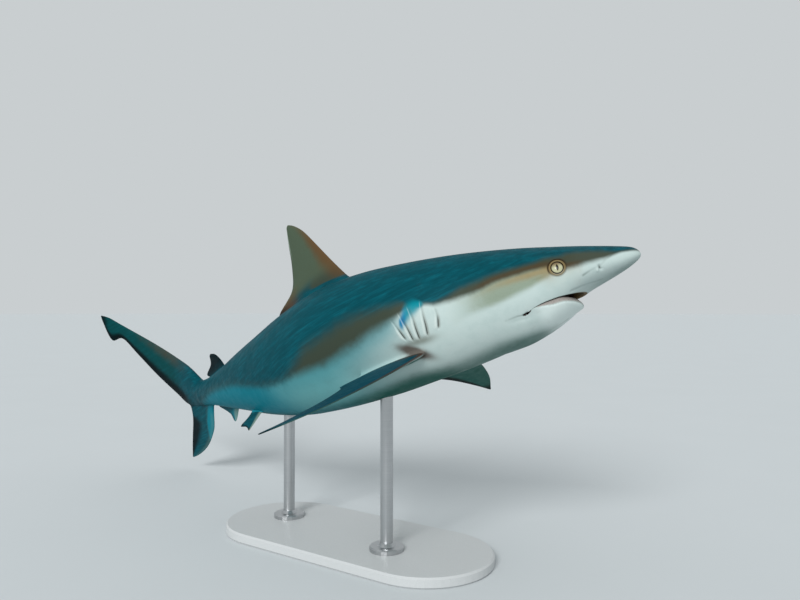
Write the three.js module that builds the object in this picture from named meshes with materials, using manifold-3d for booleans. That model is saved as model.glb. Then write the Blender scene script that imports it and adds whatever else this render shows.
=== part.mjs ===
// A grey reef shark at life size, swimming and turning, held up on a display stand.
// Millimetres and degrees, +Z up. The origin is the middle of the stand's underside, and +X
// runs from the tail tip towards the snout tip. The animal is first laid out straight, with
// every station counted along the body from the snout tip as a percentage of the total
// length, the way a fish is measured. It is then bent into its pose along its backbone.

import * as THREE from 'three';
import { ParametricGeometry } from 'three/addons/geometries/ParametricGeometry.js';
import { mergeVertices } from 'three/addons/utils/BufferGeometryUtils.js';
import Module from 'manifold-3d';

const wasm = await Module();
wasm.setup();

// ---- driving dimensions ----

const totalLength = 1600;
const percent = totalLength / 100;
const seam = 0.3;
const snoutTip = new THREE.Vector3(510, 75, 518);
const nose = 0.3; // the blunt end of the snout lies this far behind its tip

// station, height of the back, depth of the belly, half width
const bodySections = [
  [nose, 0, 0, 0],
  [1, 0.9, 0.6, 1.5],
  [2, 1.3, 0.98, 2.25],
  [4, 1.98, 1.52, 3.4],
  [6, 2.62, 2.05, 4.3],
  [8, 3.22, 3.15, 4.9],
  [11, 4.1, 4.45, 5.3],
  [14, 4.85, 5.35, 5.55],
  [18, 5.7, 5.92, 5.9],
  [23, 6.5, 6.35, 6.2],
  [28, 7.1, 6.7, 6.3],
  [33, 7.35, 6.8, 6.2],
  [40, 6.8, 6.6, 5.8],
  [50, 5.2, 5.4, 4.6],
  [56, 4.2, 4.2, 3.65],
  [62, 3.2, 3.2, 2.75],
  [68, 2.45, 2.35, 1.95],
  [72, 2.15, 1.95, 1.55],
  [76, 2.1, 1.95, 1.2],
];

// station, heading, climb and roll of the backbone there, in degrees
const backbonePose = [
  [0, 18, 17, -4],
  [14, 18, 17, -4],
  [26, 5, 16, -1],
  [38, -13, 15, 4],
  [50, -14.5, 13.5, 8.5],
  [61, -19, 12, 11.5],
  [72, -20.5, 10, 13.5],
  [85, 1, 8, 14.5],
  [97, 20.5, 6, 14.5],
];

const mouth = {
  plane: -2.07, // height of the line between the lips
  front: 5.6,
  hinge: 12.4,
  drop: 7, // how far the jaw is open, in degrees
  back: 15.5, // where the throat is no longer drawn by the jaw
  chin: 6.35, // the jaw stops short of the upper lip
};

const eye = { station: 7.95, height: 0.45, radius: 12, flatness: 0.8, sink: 5.8 };

// slit widths and depths in millimetres, heights of their ends in percent
const gills = {
  stations: [19.5, 20.6, 21.6, 22.5, 23.2],
  tops: [0.35, 1.2, 1.0, 0.75, 0.2],
  bottoms: [-1.95, -2.25, -2.45, -2.4, -2.15],
  width: 1.2,
  depth: 5,
};

const stand = {
  length: 560,
  width: 240,
  thickness: 18,
  bevel: 3,
  rodRadius: 11,
  footRadius: 30,
  footHeight: 8,
  fillet: 5,
  stations: { stand_rod_front: 27.5, stand_rod_rear: 45.5 },
};

// ---- colours ----

const colours = {
  back: 0x46564f,
  flank: 0x9aa59a,
  belly: 0xd5d8d0,
  fin: 0x4c5a55,
  finTip: 0x2e3836,
  iris: 0xc9bd8e,
  stand: 0xbabdbe,
  steel: 0xb9bcbf,
};

// ---- small helpers ----

const radians = THREE.MathUtils.degToRad;

function smoothStep(from, to, value) {
  const t = THREE.MathUtils.clamp((value - from) / (to - from), 0, 1);
  return t * t * (3 - 2 * t);
}

// A smooth curve through a table's rows, which never overshoots them.
function smoothTable(keys, values) {
  const last = keys.length - 1;
  const gap = keys.slice(1).map((key, i) => key - keys[i]);
  const rise = gap.map((g, i) => (values[i + 1] - values[i]) / g);
  const slope = keys.map((_, i) => {
    if (i === 0) return rise[0];
    if (i === last) return rise[last - 1];
    if (rise[i - 1] * rise[i] <= 0) return 0;
    const before = 2 * gap[i] + gap[i - 1];
    const after = gap[i] + 2 * gap[i - 1];
    return (before + after) / (before / rise[i - 1] + after / rise[i]);
  });
  return (key) => {
    const at = THREE.MathUtils.clamp(key, keys[0], keys[last]);
    let i = 0;
    while (i < last - 1 && at > keys[i + 1]) i += 1;
    const t = (at - keys[i]) / gap[i];
    const startPart = values[i] * (1 + 2 * t) + slope[i] * gap[i] * t;
    const endPart = values[i + 1] * (3 - 2 * t) - slope[i + 1] * gap[i] * (1 - t);
    return startPart * (1 - t) * (1 - t) + endPart * t * t;
  };
}

function column(table, index) {
  return table.map((row) => row[index]);
}

// ---- the straight body ----

// Sizes are read off against the root of the way back from the nose, which rounds the snout.
function rootOf(station) {
  return Math.sqrt(Math.max(0, station - nose));
}

const roots = column(bodySections, 0).map(rootOf);
const backCurve = smoothTable(roots, column(bodySections, 1));
const bellyCurve = smoothTable(roots, column(bodySections, 2));
const widthCurve = smoothTable(roots, column(bodySections, 3));

// A point of the skin at a station, turned round the body from its left side over the back.
// The underside of the head is a little squarer than an ellipse.
function skinPoint(station, angle, swell = 0) {
  const root = rootOf(station);
  const c = Math.cos(angle);
  const s = Math.sin(angle);
  const square = s < 0 ? 0.16 * (1 - smoothStep(8, 16, station)) : 0;
  const side = Math.sign(c) * Math.abs(c) ** (1 - square) * (widthCurve(root) + swell);
  const height = s >= 0 ? backCurve(root) + swell : bellyCurve(root) + swell;
  return new THREE.Vector3(station, side, Math.sign(s) * Math.abs(s) ** (1 - square) * height);
}

// ---- the pose ----

const headingAt = smoothTable(column(backbonePose, 0), column(backbonePose, 1));
const climbAt = smoothTable(column(backbonePose, 0), column(backbonePose, 2));
const rollAt = smoothTable(column(backbonePose, 0), column(backbonePose, 3));

function axesAt(station) {
  const heading = radians(headingAt(station));
  const climb = radians(climbAt(station));
  const roll = radians(rollAt(station));
  const level = Math.cos(climb);
  const forward = new THREE.Vector3(
    Math.cos(heading) * level,
    Math.sin(heading) * level,
    Math.sin(climb),
  );
  const flatLeft = new THREE.Vector3(-Math.sin(heading), Math.cos(heading), 0);
  const flatUp = new THREE.Vector3().crossVectors(forward, flatLeft);
  const left = flatLeft.clone().multiplyScalar(Math.cos(roll));
  left.addScaledVector(flatUp, Math.sin(roll));
  const up = flatUp.multiplyScalar(Math.cos(roll)).addScaledVector(flatLeft, -Math.sin(roll));
  return { forward, left, up };
}

// The backbone is walked from the snout tip in quarter-percent steps.
const stride = 0.25;
const backbone = [snoutTip.clone()];
for (let station = 0; station < 100; station += stride) {
  const axes = axesAt(station + stride / 2);
  const next = backbone[backbone.length - 1].clone();
  backbone.push(next.addScaledVector(axes.forward, -stride * percent));
}

function backboneAt(station) {
  const place = THREE.MathUtils.clamp(station, 0, 99.9) / stride;
  const i = Math.floor(place);
  return backbone[i].clone().lerp(backbone[i + 1], place - i);
}

// A point of the straight animal (station, side, height) taken to its place in the pose.
function posed(point) {
  const axes = axesAt(point.x);
  const place = backboneAt(point.x);
  place.addScaledVector(axes.left, point.y * percent);
  return place.addScaledVector(axes.up, point.z * percent);
}

// The jaw swings down about its hinge and draws the throat behind it.
function jawDropped(point) {
  const pull = 1 - smoothStep(11.5, mouth.back, point.x);
  const turn = radians(mouth.drop) * pull;
  const ahead = mouth.hinge - point.x;
  const below = mouth.plane - point.z;
  const dropped = point.clone();
  dropped.x += ahead * (1 - Math.cos(turn)) + below * Math.sin(turn);
  dropped.z += below * (1 - Math.cos(turn)) - ahead * Math.sin(turn);
  return dropped;
}

// ---- solids ----

// Drops the triangles that lost their area when their corners were merged.
function welded(geometry) {
  const bare = geometry.clone();
  bare.deleteAttribute('normal');
  bare.deleteAttribute('uv');
  const merged = mergeVertices(bare, 1e-3);
  const index = merged.index.array;
  const kept = [];
  for (let i = 0; i < index.length; i += 3) {
    const [a, b, c] = [index[i], index[i + 1], index[i + 2]];
    if (a !== b && b !== c && c !== a) kept.push(a, b, c);
  }
  merged.setIndex(kept);
  return merged;
}

function volumeOf(geometry) {
  const spot = geometry.attributes.position;
  const index = geometry.index.array;
  const [a, b, c] = [new THREE.Vector3(), new THREE.Vector3(), new THREE.Vector3()];
  let total = 0;
  for (let i = 0; i < index.length; i += 3) {
    a.fromBufferAttribute(spot, index[i]);
    b.fromBufferAttribute(spot, index[i + 1]);
    c.fromBufferAttribute(spot, index[i + 2]);
    total += a.dot(b.cross(c)) / 6;
  }
  return total;
}

function solidOf(geometry) {
  const clean = welded(geometry);
  const triVerts = Uint32Array.from(clean.index.array);
  if (volumeOf(clean) < 0) triVerts.reverse();
  const vertProperties = Float32Array.from(clean.attributes.position.array);
  return new wasm.Manifold(new wasm.Mesh({ numProp: 3, vertProperties, triVerts }));
}

function geometryOf(solid) {
  const mesh = solid.getMesh();
  const geometry = new THREE.BufferGeometry();
  geometry.setAttribute('position', new THREE.BufferAttribute(mesh.vertProperties, 3));
  geometry.setIndex(new THREE.BufferAttribute(mesh.triVerts, 1));
  return geometry;
}

function sumOf(solids) {
  return solids.reduce((whole, piece) => whole.add(piece));
}

// A solid skinned over closed rings. ring(i, turn) gives the points of ring i, turn running
// once round from 0 to 1, and each end is closed by a fan about the middle of its ring.
function loft(count, sides, ring) {
  const middleOf = (i) => {
    const middle = new THREE.Vector3();
    for (let k = 0; k < sides; k += 1) middle.addScaledVector(ring(i, k / sides), 1 / sides);
    return middle;
  };
  const ends = [middleOf(0), middleOf(count - 1)];
  const sheet = new ParametricGeometry(
    (round, along, target) => {
      const row = Math.round(along * (count + 1)) - 1;
      if (row < 0) target.copy(ends[0]);
      else if (row >= count) target.copy(ends[1]);
      else target.copy(ring(row, Math.round(round * sides) % sides / sides));
    },
    sides,
    count + 1,
  );
  return solidOf(sheet);
}

// Turns every vertex of a solid by a rule for points.
function moved(solid, rule) {
  const geometry = geometryOf(solid);
  const spot = geometry.attributes.position;
  const point = new THREE.Vector3();
  for (let i = 0; i < spot.count; i += 1) {
    point.copy(rule(new THREE.Vector3().fromBufferAttribute(spot, i)));
    spot.setXYZ(i, point.x, point.y, point.z);
  }
  return solidOf(geometry);
}

// ---- lengths of the body ----

const bodySides = 26;

// Straight rings between two stations, half a seam short of each end that meets a neighbour.
function bodyLength(from, to, count, swell = 0) {
  const start = from + seam / 2 / percent;
  const end = to - seam / 2 / percent;
  const crowd = from === nose ? 1.6 : 1;
  return loft(count, bodySides, (i, turn) => {
    const station = start + (end - start) * (i / (count - 1)) ** crowd;
    return skinPoint(station, turn * 2 * Math.PI, swell);
  });
}

const wholeBody = moved(bodyLength(nose, 76, 64, seam / percent), posed);

function box(low, high) {
  const size = high.map((h, i) => h - low[i]);
  const geometry = new THREE.BoxGeometry(...size);
  geometry.translate(...high.map((h, i) => (h + low[i]) / 2));
  return solidOf(geometry);
}

// ---- head and jaw ----

const headEnd = 18.2;
const headRings = 19;

// Everything below the lips and ahead of the hinge.
function jawBlock(start, grow = 0) {
  return box([start, -8, -9], [mouth.hinge + grow, 8, mouth.plane + grow]);
}

function head() {
  const whole = bodyLength(nose, headEnd, headRings);
  const open = whole.subtract(jawBlock(mouth.front, seam / percent));
  const throatDrawn = moved(open, (point) => {
    const behind = point.x > mouth.hinge && point.z < mouth.plane;
    return behind ? jawDropped(point) : point;
  });
  return moved(throatDrawn, posed).subtract(sumOf([eyeball(1, seam), eyeball(-1, seam)]));
}

function lowerJaw() {
  const jaw = bodyLength(nose, headEnd, headRings).intersect(jawBlock(mouth.chin));
  return moved(moved(jaw, jawDropped), posed);
}

// ---- eyes ----

function eyeball(side, grow = 0) {
  const angle = Math.asin(eye.height / backCurve(rootOf(eye.station)));
  const out = (offset) => {
    const spot = skinPoint(eye.station, side > 0 ? angle : Math.PI - angle);
    return posed(spot.setY(spot.y + side * offset));
  };
  const surface = out(0);
  const outward = out(1).sub(surface).normalize();
  const ball = new THREE.SphereGeometry(eye.radius + grow, 16, 9);
  ball.scale(1, eye.flatness, 1);
  const poleUp = new THREE.Vector3(0, 1, 0);
  ball.applyQuaternion(new THREE.Quaternion().setFromUnitVectors(poleUp, outward));
  const centre = surface.addScaledVector(outward, -eye.sink);
  ball.translate(centre.x, centre.y, centre.z);
  return solidOf(ball);
}

// ---- gills ----

// A thin curved blade that cuts one slit into the side of the throat.
function gillSlit(side, i) {
  const root = rootOf(gills.stations[i]);
  const rows = 6;
  const bow = 0.35;
  const outside = 0.25;
  return loft(rows, 4, (row, turn) => {
    const t = row / (rows - 1);
    const height = THREE.MathUtils.lerp(gills.bottoms[i], gills.tops[i], t);
    const middle = Math.sin(Math.PI * t);
    const lean = Math.asin(height / (height > 0 ? backCurve(root) : bellyCurve(root)));
    const corner = Math.round(turn * 4);
    const rear = corner < 2 ? 1 : -1;
    const outer = corner === 0 || corner === 3;
    const taper = 0.25 + 0.75 * middle;
    const skin = skinPoint(gills.stations[i], side > 0 ? lean : Math.PI - lean);
    skin.x += rear * taper * gills.width / 2 / percent - bow * middle;
    skin.y += side * (outer ? outside : -taper * gills.depth / percent);
    return skin;
  });
}

const gillEnd = 24.2;

function gillRegion() {
  let region = bodyLength(headEnd, gillEnd, 6);
  gills.stations.forEach((_, i) => {
    region = region.subtract(gillSlit(1, i)).subtract(gillSlit(-1, i));
  });
  return moved(region, posed);
}

// ---- fins ----

const finSides = 12;

function curveThrough(points) {
  return new THREE.SplineCurve(points.map(([x, y]) => new THREE.Vector2(x, y)));
}

// Half the thickness of a fin across its chord: a round front and a thin rear.
function lens(chord) {
  return 2.6 * Math.sqrt(chord) * (1 - chord);
}

// A blade between a leading and a trailing outline. Its ribs join points at the same share
// of both outlines, and half thicknesses are in millimetres, growing from fullAt at the root.
// place(back, out, across) takes a point of the fin to the animal.
function blade({ lead, trail, thick, ribs = 10, rear = 0.4, oval = 0 }, place, grow = 0) {
  const [leadCurve, trailCurve] = [curveThrough(lead), curveThrough(trail)];
  const thickAt = smoothTable(thick.map((_, i) => i / (thick.length - 1)), thick);
  const sides = finSides + (oval ? 2 : 0);
  return loft(ribs, sides, (i, turn) => {
    const share = i / (ribs - 1);
    const from = leadCurve.getPoint(share);
    const to = trailCurve.getPoint(share);
    const angle = (turn + 0.5 / sides) * 2 * Math.PI;
    const reach = 0.5 + grow / percent / from.distanceTo(to);
    const chord = 0.5 + 0.5 * Math.cos(angle);
    const fullness = oval ? 1 - smoothStep(0, oval, share) : 0;
    const shape = THREE.MathUtils.lerp(lens(chord), Math.abs(Math.sin(angle)), fullness);
    const half = shape * thickAt(share) + rear + grow;
    const spot = from.clone().lerp(to, 0.5 + reach * Math.cos(angle));
    return place(spot.x, spot.y, Math.sign(Math.sin(angle)) * half / percent);
  });
}

// Fins on the middle line follow the bend of the backbone.
function onMiddle(back, up, across) {
  return posed(new THREE.Vector3(back, across, up));
}

function medianFin(outline) {
  return blade(outline, onMiddle).subtract(wholeBody);
}

const firstDorsal = {
  lead: [[29.9, 6.2], [32.6, 9.6], [34.9, 12.6], [36.9, 15.1], [38.4, 16.3], [39.4, 16.75]],
  trail: [[41.2, 5.6], [45.2, 6.5], [41.4, 8.7], [40.35, 11.4], [40.05, 14.2], [39.75, 16.5]],
  thick: [9, 6.5, 4.6, 3.2, 2.1, 0.9],
  ribs: 12,
};

const secondDorsal = {
  lead: [[62.4, 2.4], [63.7, 4.2], [65.3, 5.3], [67.0, 5.6]],
  trail: [[67.4, 2.0], [70.9, 2.65], [68.1, 4.0], [67.6, 5.35]],
  thick: [3.6, 2.6, 1.7, 0.6],
  ribs: 9,
};

const analFin = {
  lead: [[61.2, -2.4], [62.8, -3.9], [64.0, -4.8], [64.7, -5.1]],
  trail: [[66.2, -1.9], [69.6, -2.35], [66.2, -3.4], [65.1, -4.9]],
  thick: [3.4, 2.5, 1.6, 0.6],
  ribs: 9,
};

// Paired fins keep flat to axes of their own at the root. The pitch turns them about a line
// that lies back of the leading edge, and the bend lifts the tip.
function pairedFin(outline, side, stance) {
  const axes = axesAt(stance.axes);
  const [back, out, up] = stance.root;
  const root = posed(new THREE.Vector3(back, side * out, up));
  const [sweep, droop] = [radians(stance.sweep), radians(stance.droop)];
  const [tipBack, tipOut] = outline.lead[outline.lead.length - 1];
  const slant = 0.6 * Math.tan(sweep + Math.atan(tipBack / tipOut));
  const fin = blade(outline, (p, q, across) => {
    const share = THREE.MathUtils.clamp(q / tipOut, 0, 1);
    const behind = p * Math.cos(sweep) + q * Math.sin(sweep);
    const aside = q * Math.cos(sweep) - p * Math.sin(sweep);
    const pitch = radians(stance.pitch + stance.twist * share);
    const lift = (behind - slant * aside) * Math.tan(pitch) + stance.bend * share * share;
    const outward = aside * Math.cos(droop) + across * Math.sin(droop);
    const upward = across * Math.cos(droop) - aside * Math.sin(droop) + lift;
    const spot = root.clone().addScaledVector(axes.forward, -behind * percent);
    spot.addScaledVector(axes.left, side * outward * percent);
    return spot.addScaledVector(axes.up, upward * percent);
  });
  return fin.subtract(wholeBody);
}

const pectoral = {
  lead: [[-0.2, -1.2], [0.05, 0.6], [0.9, 5], [2.2, 10], [3.8, 14.5], [5.65, 17.9]],
  trail: [[4.6, -1.2], [9.0, 2.4], [7.5, 4.8], [6.5, 8.5], [6.0, 13.5], [5.75, 17.7]],
  thick: [7, 5.2, 3.6, 2.4, 1.5, 0.6],
  ribs: 12,
};

const pelvic = {
  lead: [[0, -0.43], [0.43, 0.56], [1.24, 1.36], [2.23, 1.95]],
  trail: [[2.6, -0.37], [4.28, 0.62], [2.91, 1.3], [2.33, 1.92]],
  thick: [3.2, 2.4, 1.5, 0.6],
  ribs: 8,
};

const pectoralPlace = { root: [21.6, 5.1, -3.65], axes: 24 };
const pelvicPlace = { root: [50.0, 2.2, -4.12], axes: 51 };
const pelvicSet = { ...pelvicPlace, sweep: -27.7, droop: 31.8, pitch: 0, twist: 0, bend: -0.69 };
const pectoralSets = {
  left: { ...pectoralPlace, sweep: -4.5, droop: 7, pitch: -4.5, twist: -14, bend: -1.85 },
  right: { ...pectoralPlace, sweep: 10, droop: 17, pitch: -5, twist: 2.5, bend: 0.95 },
};

// ---- tail ----

const stalkEnd = 74.5;

// The upper lobe carries on the stalk's oval section and thins into a blade.
const upperLobe = {
  lead: [
    [74.51, 2.1], [77.2, 4.6], [80.6, 6.75], [85, 9.5],
    [89.3, 12.1], [92.4, 14.0], [94.6, 15.4], [96.3, 16.0],
  ],
  trail: [
    [74.51, -1.95], [80.6, -1.5], [83.4, 0.7], [87.0, 4.3],
    [90.2, 8.3], [92.75, 11.5], [95.3, 11.45], [96.3, 15.3],
  ],
  thick: [19.5, 13, 8.5, 5.6, 3.8, 2.8, 1.8, 0.8],
  ribs: 16,
  oval: 0.25,
};

const lowerLobe = {
  lead: [[71.9, -0.9], [73.7, -4.9], [76.6, -7.2], [79.6, -9.0], [82.6, -10.3], [84.3, -10.75]],
  trail: [[80.9, -0.6], [80.75, -2.6], [81.35, -4.3], [82.5, -6.4], [83.6, -8.6], [84.4, -10.6]],
  thick: [7.5, 5.2, 3.6, 2.5, 1.6, 0.7],
  ribs: 11,
};

function caudalLower() {
  return medianFin(lowerLobe).subtract(blade(upperLobe, onMiddle, seam));
}

// ---- stand ----

// A flat plate with two round ends.
function standBase() {
  const { length, width, thickness, bevel } = stand;
  const radius = width / 2 - bevel;
  const straight = length / 2 - width / 2;
  const outline = new THREE.Shape();
  outline.absarc(straight, 0, radius, -Math.PI / 2, Math.PI / 2);
  outline.absarc(-straight, 0, radius, Math.PI / 2, 1.5 * Math.PI);
  outline.closePath();
  const plate = new THREE.ExtrudeGeometry(outline, {
    depth: thickness - 2 * bevel,
    bevelThickness: bevel,
    bevelSize: bevel,
    bevelSegments: 1,
    curveSegments: 14,
  });
  plate.translate(0, 0, bevel);
  return solidOf(plate);
}

// A rod with a round foot on the plate, its top cut to the belly that rests on it.
function standRod(station) {
  const { rodRadius, footRadius, footHeight, fillet, thickness } = stand;
  const centre = backboneAt(station);
  const bottom = thickness + seam;
  const outline = [
    [0, bottom],
    [footRadius, bottom],
    [footRadius, bottom + footHeight - 2],
    [footRadius - 2, bottom + footHeight],
    [rodRadius + fillet, bottom + footHeight],
    [rodRadius, bottom + footHeight + fillet],
    [rodRadius, centre.z],
    [0, centre.z],
  ];
  const rod = new THREE.LatheGeometry(outline.map(([x, y]) => new THREE.Vector2(x, y)), 20);
  rod.rotateX(Math.PI / 2);
  rod.translate(centre.x, centre.y, 0);
  return solidOf(rod).subtract(wholeBody);
}

// ---- the whole ----

const model = new THREE.Group();

function add(name, solid, colour, roughness = 0.5, metalness = 0) {
  const material = new THREE.MeshStandardMaterial({ color: colour, roughness, metalness });
  const mesh = new THREE.Mesh(geometryOf(solid), material);
  mesh.name = name;
  model.add(mesh);
}

const lengths = [
  ['trunk_front', gillEnd, 37, 8],
  ['trunk_middle', 37, 49, 7],
  ['trunk_rear', 49, 62, 7],
  ['tail_stalk', 62, stalkEnd, 7],
];

add('head', head(), colours.back);
add('lower_jaw', lowerJaw(), colours.belly);
add('gill_region', gillRegion(), colours.flank);
for (const [name, from, to, rings] of lengths) {
  add(name, moved(bodyLength(from, to, rings), posed), colours.back);
}

for (const [side, suffix] of [[1, 'left'], [-1, 'right']]) {
  add(`eye_${suffix}`, eyeball(side), colours.iris, 0.1);
  add(`pectoral_fin_${suffix}`, pairedFin(pectoral, side, pectoralSets[suffix]), colours.fin);
  add(`pelvic_fin_${suffix}`, pairedFin(pelvic, side, pelvicSet), colours.fin);
}

add('first_dorsal_fin', medianFin(firstDorsal), colours.fin);
add('second_dorsal_fin', medianFin(secondDorsal), colours.finTip);
add('anal_fin', medianFin(analFin), colours.finTip);
add('caudal_fin_upper', blade(upperLobe, onMiddle), colours.fin);
add('caudal_fin_lower', caudalLower(), colours.finTip);

add('stand_base', standBase(), colours.stand);
for (const [name, station] of Object.entries(stand.stations)) {
  add(name, standRod(station), colours.steel, 0.35, 1);
}

export default model;
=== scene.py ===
import bpy
import numpy as np
from math import atan, pi, radians, tan
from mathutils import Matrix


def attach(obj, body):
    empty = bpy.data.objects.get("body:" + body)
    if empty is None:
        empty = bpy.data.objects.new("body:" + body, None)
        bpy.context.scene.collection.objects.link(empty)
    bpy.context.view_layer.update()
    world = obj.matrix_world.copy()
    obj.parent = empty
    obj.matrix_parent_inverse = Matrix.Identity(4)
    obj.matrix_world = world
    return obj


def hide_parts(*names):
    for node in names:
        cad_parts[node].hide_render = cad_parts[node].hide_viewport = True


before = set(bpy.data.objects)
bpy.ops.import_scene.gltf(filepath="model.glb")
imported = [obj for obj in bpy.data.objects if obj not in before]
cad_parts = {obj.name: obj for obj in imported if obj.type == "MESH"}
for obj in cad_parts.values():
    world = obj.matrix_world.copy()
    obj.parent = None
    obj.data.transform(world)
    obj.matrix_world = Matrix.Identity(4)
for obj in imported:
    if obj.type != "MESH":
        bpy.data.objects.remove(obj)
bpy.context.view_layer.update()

# The shark is laid out straight first: station behind the snout tip, side (left is plus) and
# height, all in percent of the total length. Then it is bent into its pose.
shark = {
    "length": 1.6,  # metres, like the place of the snout tip
    "snoutTip": (0.510, 0.075, 0.518),
    "nose": 0.3,  # station of the round tip
    "stalkEnd": 74.5,  # where the rings of the trunk give way to those of the upper tail lobe
    "tailEnd": 100,  # where the rings of the lobe stop
    "squareJowl": 0.16, "jowlFade": (8, 16),  # how square the underside is, and where that fades
}
percent = shark["length"] / 100
millimetre = 0.001 / percent

# station, height of the back, depth of the belly, half width
bodySections = [
    (0.3, 0, 0, 0),
    (1, 0.9, 0.6, 1.5),
    (2, 1.3, 0.98, 2.25),
    (4, 1.98, 1.52, 3.4),
    (6, 2.62, 2.05, 4.3),
    (8, 3.22, 3.15, 4.9),
    (11, 4.1, 4.45, 5.3),
    (14, 4.85, 5.35, 5.55),
    (18, 5.7, 5.92, 5.9),
    (23, 6.5, 6.35, 6.2),
    (28, 7.1, 6.7, 6.3),
    (33, 7.35, 6.8, 6.2),
    (40, 6.8, 6.6, 5.8),
    (50, 5.2, 5.4, 4.6),
    (56, 4.2, 4.2, 3.65),
    (62, 3.2, 3.2, 2.75),
    (68, 2.45, 2.35, 1.95),
    (72, 2.15, 1.95, 1.55),
    (76, 2.1, 1.95, 1.2),
]

# station, heading, climb and roll of the backbone, in degrees
backbonePose = [
    (0, 18, 17, -4),
    (14, 18, 17, -4),
    (26, 5, 16, -1),
    (38, -13, 15, 4),
    (50, -14.5, 13.5, 8.5),
    (61, -19, 12, 11.5),
    (72, -20.5, 10, 13.5),
    (85, 1, 8, 14.5),
    (97, 20.5, 6, 14.5),
]


def smoothStep(low, high, value):
    t = np.clip((value - low) / (high - low), 0, 1)
    return t * t * (3 - 2 * t)


def bump(middle, reach, value):  # 1 at the middle, 0 beyond the reach
    return 1 - smoothStep(0, reach, np.abs(value - middle))


def hill(offset, reach):  # 1 at no offset, then falls off like a bell
    return np.exp(-(offset / reach) ** 2)


# A smooth curve through a table's rows, which never overshoots them.
def smoothTable(rows, column=1):
    keys = np.array([row[0] for row in rows], float)
    values = np.array([row[column] for row in rows], float)
    gap = np.diff(keys)
    rise = np.diff(values) / gap
    slope = np.concatenate([rise[:1], np.zeros(len(rows) - 2), rise[-1:]])
    for i in range(1, len(rows) - 1):
        if rise[i - 1] * rise[i] > 0:
            before = 2 * gap[i] + gap[i - 1]
            after = gap[i] + 2 * gap[i - 1]
            slope[i] = (before + after) / (before / rise[i - 1] + after / rise[i])

    def read(at):
        at = np.clip(at, keys[0], keys[-1])
        i = np.clip(np.searchsorted(keys, at, side="right") - 1, 0, len(gap) - 1)
        t = (at - keys[i]) / gap[i]
        start = values[i] * (1 + 2 * t) + slope[i] * gap[i] * t
        end = values[i + 1] * (3 - 2 * t) - slope[i + 1] * gap[i] * (1 - t)
        return start * (1 - t) ** 2 + end * t * t
    return read


rootSections = [((row[0] - shark["nose"]) ** 0.5,) + row[1:] for row in bodySections]
backCurve, bellyCurve, widthCurve = [smoothTable(rootSections, column) for column in (1, 2, 3)]
headingAt, climbAt, rollAt = [smoothTable(backbonePose, column) for column in (1, 2, 3)]


def sectionAt(station):  # back, belly and half width
    root = np.sqrt(np.clip(station - shark["nose"], 0, None))
    return backCurve(root), bellyCurve(root), widthCurve(root)


def squareness(station, below):  # the jowl is squarer below the middle line
    return np.where(below, shark["squareJowl"] * (1 - smoothStep(*shark["jowlFade"], station)), 0)


def bodyPoints(station, angle):
    back, belly, width = sectionAt(station)
    c, s = np.cos(angle), np.sin(angle)
    square = squareness(station, s < 0)
    side = np.sign(c) * np.abs(c) ** (1 - square) * width
    height = np.sign(s) * np.abs(s) ** (1 - square) * np.where(s < 0, belly, back)
    return np.stack([station, side, height], -1)


# How far out the skin is at a station and height, on either side.
def skinSide(station, height):
    back, belly, width = sectionAt(station)
    square = squareness(station, height < 0)
    share = np.clip(np.abs(height) / np.where(height < 0, belly, back), 0, 1) ** (1 / (1 - square))
    return width * np.sqrt(1 - share ** 2) ** (1 - square)


def axesAt(station):
    heading, climb, roll = [np.radians(read(station)) for read in (headingAt, climbAt, rollAt)]
    flat = np.zeros_like(heading)
    forward = np.stack([np.cos(heading) * np.cos(climb), np.sin(heading) * np.cos(climb), np.sin(climb)], -1)
    flatLeft = np.stack([-np.sin(heading), np.cos(heading), flat], -1)
    flatUp = np.cross(forward, flatLeft)
    c, s = np.cos(roll)[..., None], np.sin(roll)[..., None]
    return forward, flatLeft * c + flatUp * s, flatUp * c - flatLeft * s


stride = 0.25  # stations between two places on the backbone
furthest = 99.9  # just short of the last one
walk = np.arange(0, 100, stride)
backbone = np.array(shark["snoutTip"]) - np.concatenate(
    [np.zeros((1, 3)), np.cumsum(axesAt(walk + stride / 2)[0], 0) * stride * percent])


def backboneAt(station):
    place = np.clip(station, 0, furthest) / stride
    i = place.astype(int)
    share = (place - i)[..., None]
    return backbone[i] * (1 - share) + backbone[i + 1] * share


def posed(points):
    forward, left, up = axesAt(points[..., 0])
    return backboneAt(points[..., 0]) + percent * (left * points[..., 1:2] + up * points[..., 2:3])


# Finds the straight place of posed points, by walking along the backbone until it is square on.
def unposed(places, station):
    station = np.full(places.shape[:-1], float(station))
    for _ in range(14):
        forward, left, up = axesAt(station)
        reach = (places - backboneAt(station)) / percent
        station = np.clip(station - 0.7 * np.sum(reach * forward, -1), 0, furthest)
    return np.stack([station, np.sum(reach * left, -1), np.sum(reach * up, -1)], -1)


def deselectAll():
    bpy.ops.object.select_all(action="DESELECT")


def activate(piece):
    deselectAll()
    piece.select_set(True)
    bpy.context.view_layer.objects.active = piece


# One property of all vertices, edges, faces or corners of a mesh.
def readAll(items, key, width=1, kind=float):
    values = np.empty(len(items) * width, kind)
    items.foreach_get(key, values)
    return values.reshape(-1, width) if width > 1 else values


def readPoints(piece):
    return readAll(piece.data.vertices, "co", 3)


def readNormals(piece):
    return readAll(piece.data.vertex_normals, "vector", 3)


def faceCentres(piece):
    return readAll(piece.data.polygons, "center", 3)


def edgeEnds(piece):
    return readAll(piece.data.edges, "vertices", 2, int)


def readMask(piece, name):
    return readAll(piece.data.attributes[name].data, "value")


def writePoints(piece, points):
    piece.data.vertices.foreach_set("co", np.ascontiguousarray(points, float).ravel())
    piece.data.update()


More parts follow.
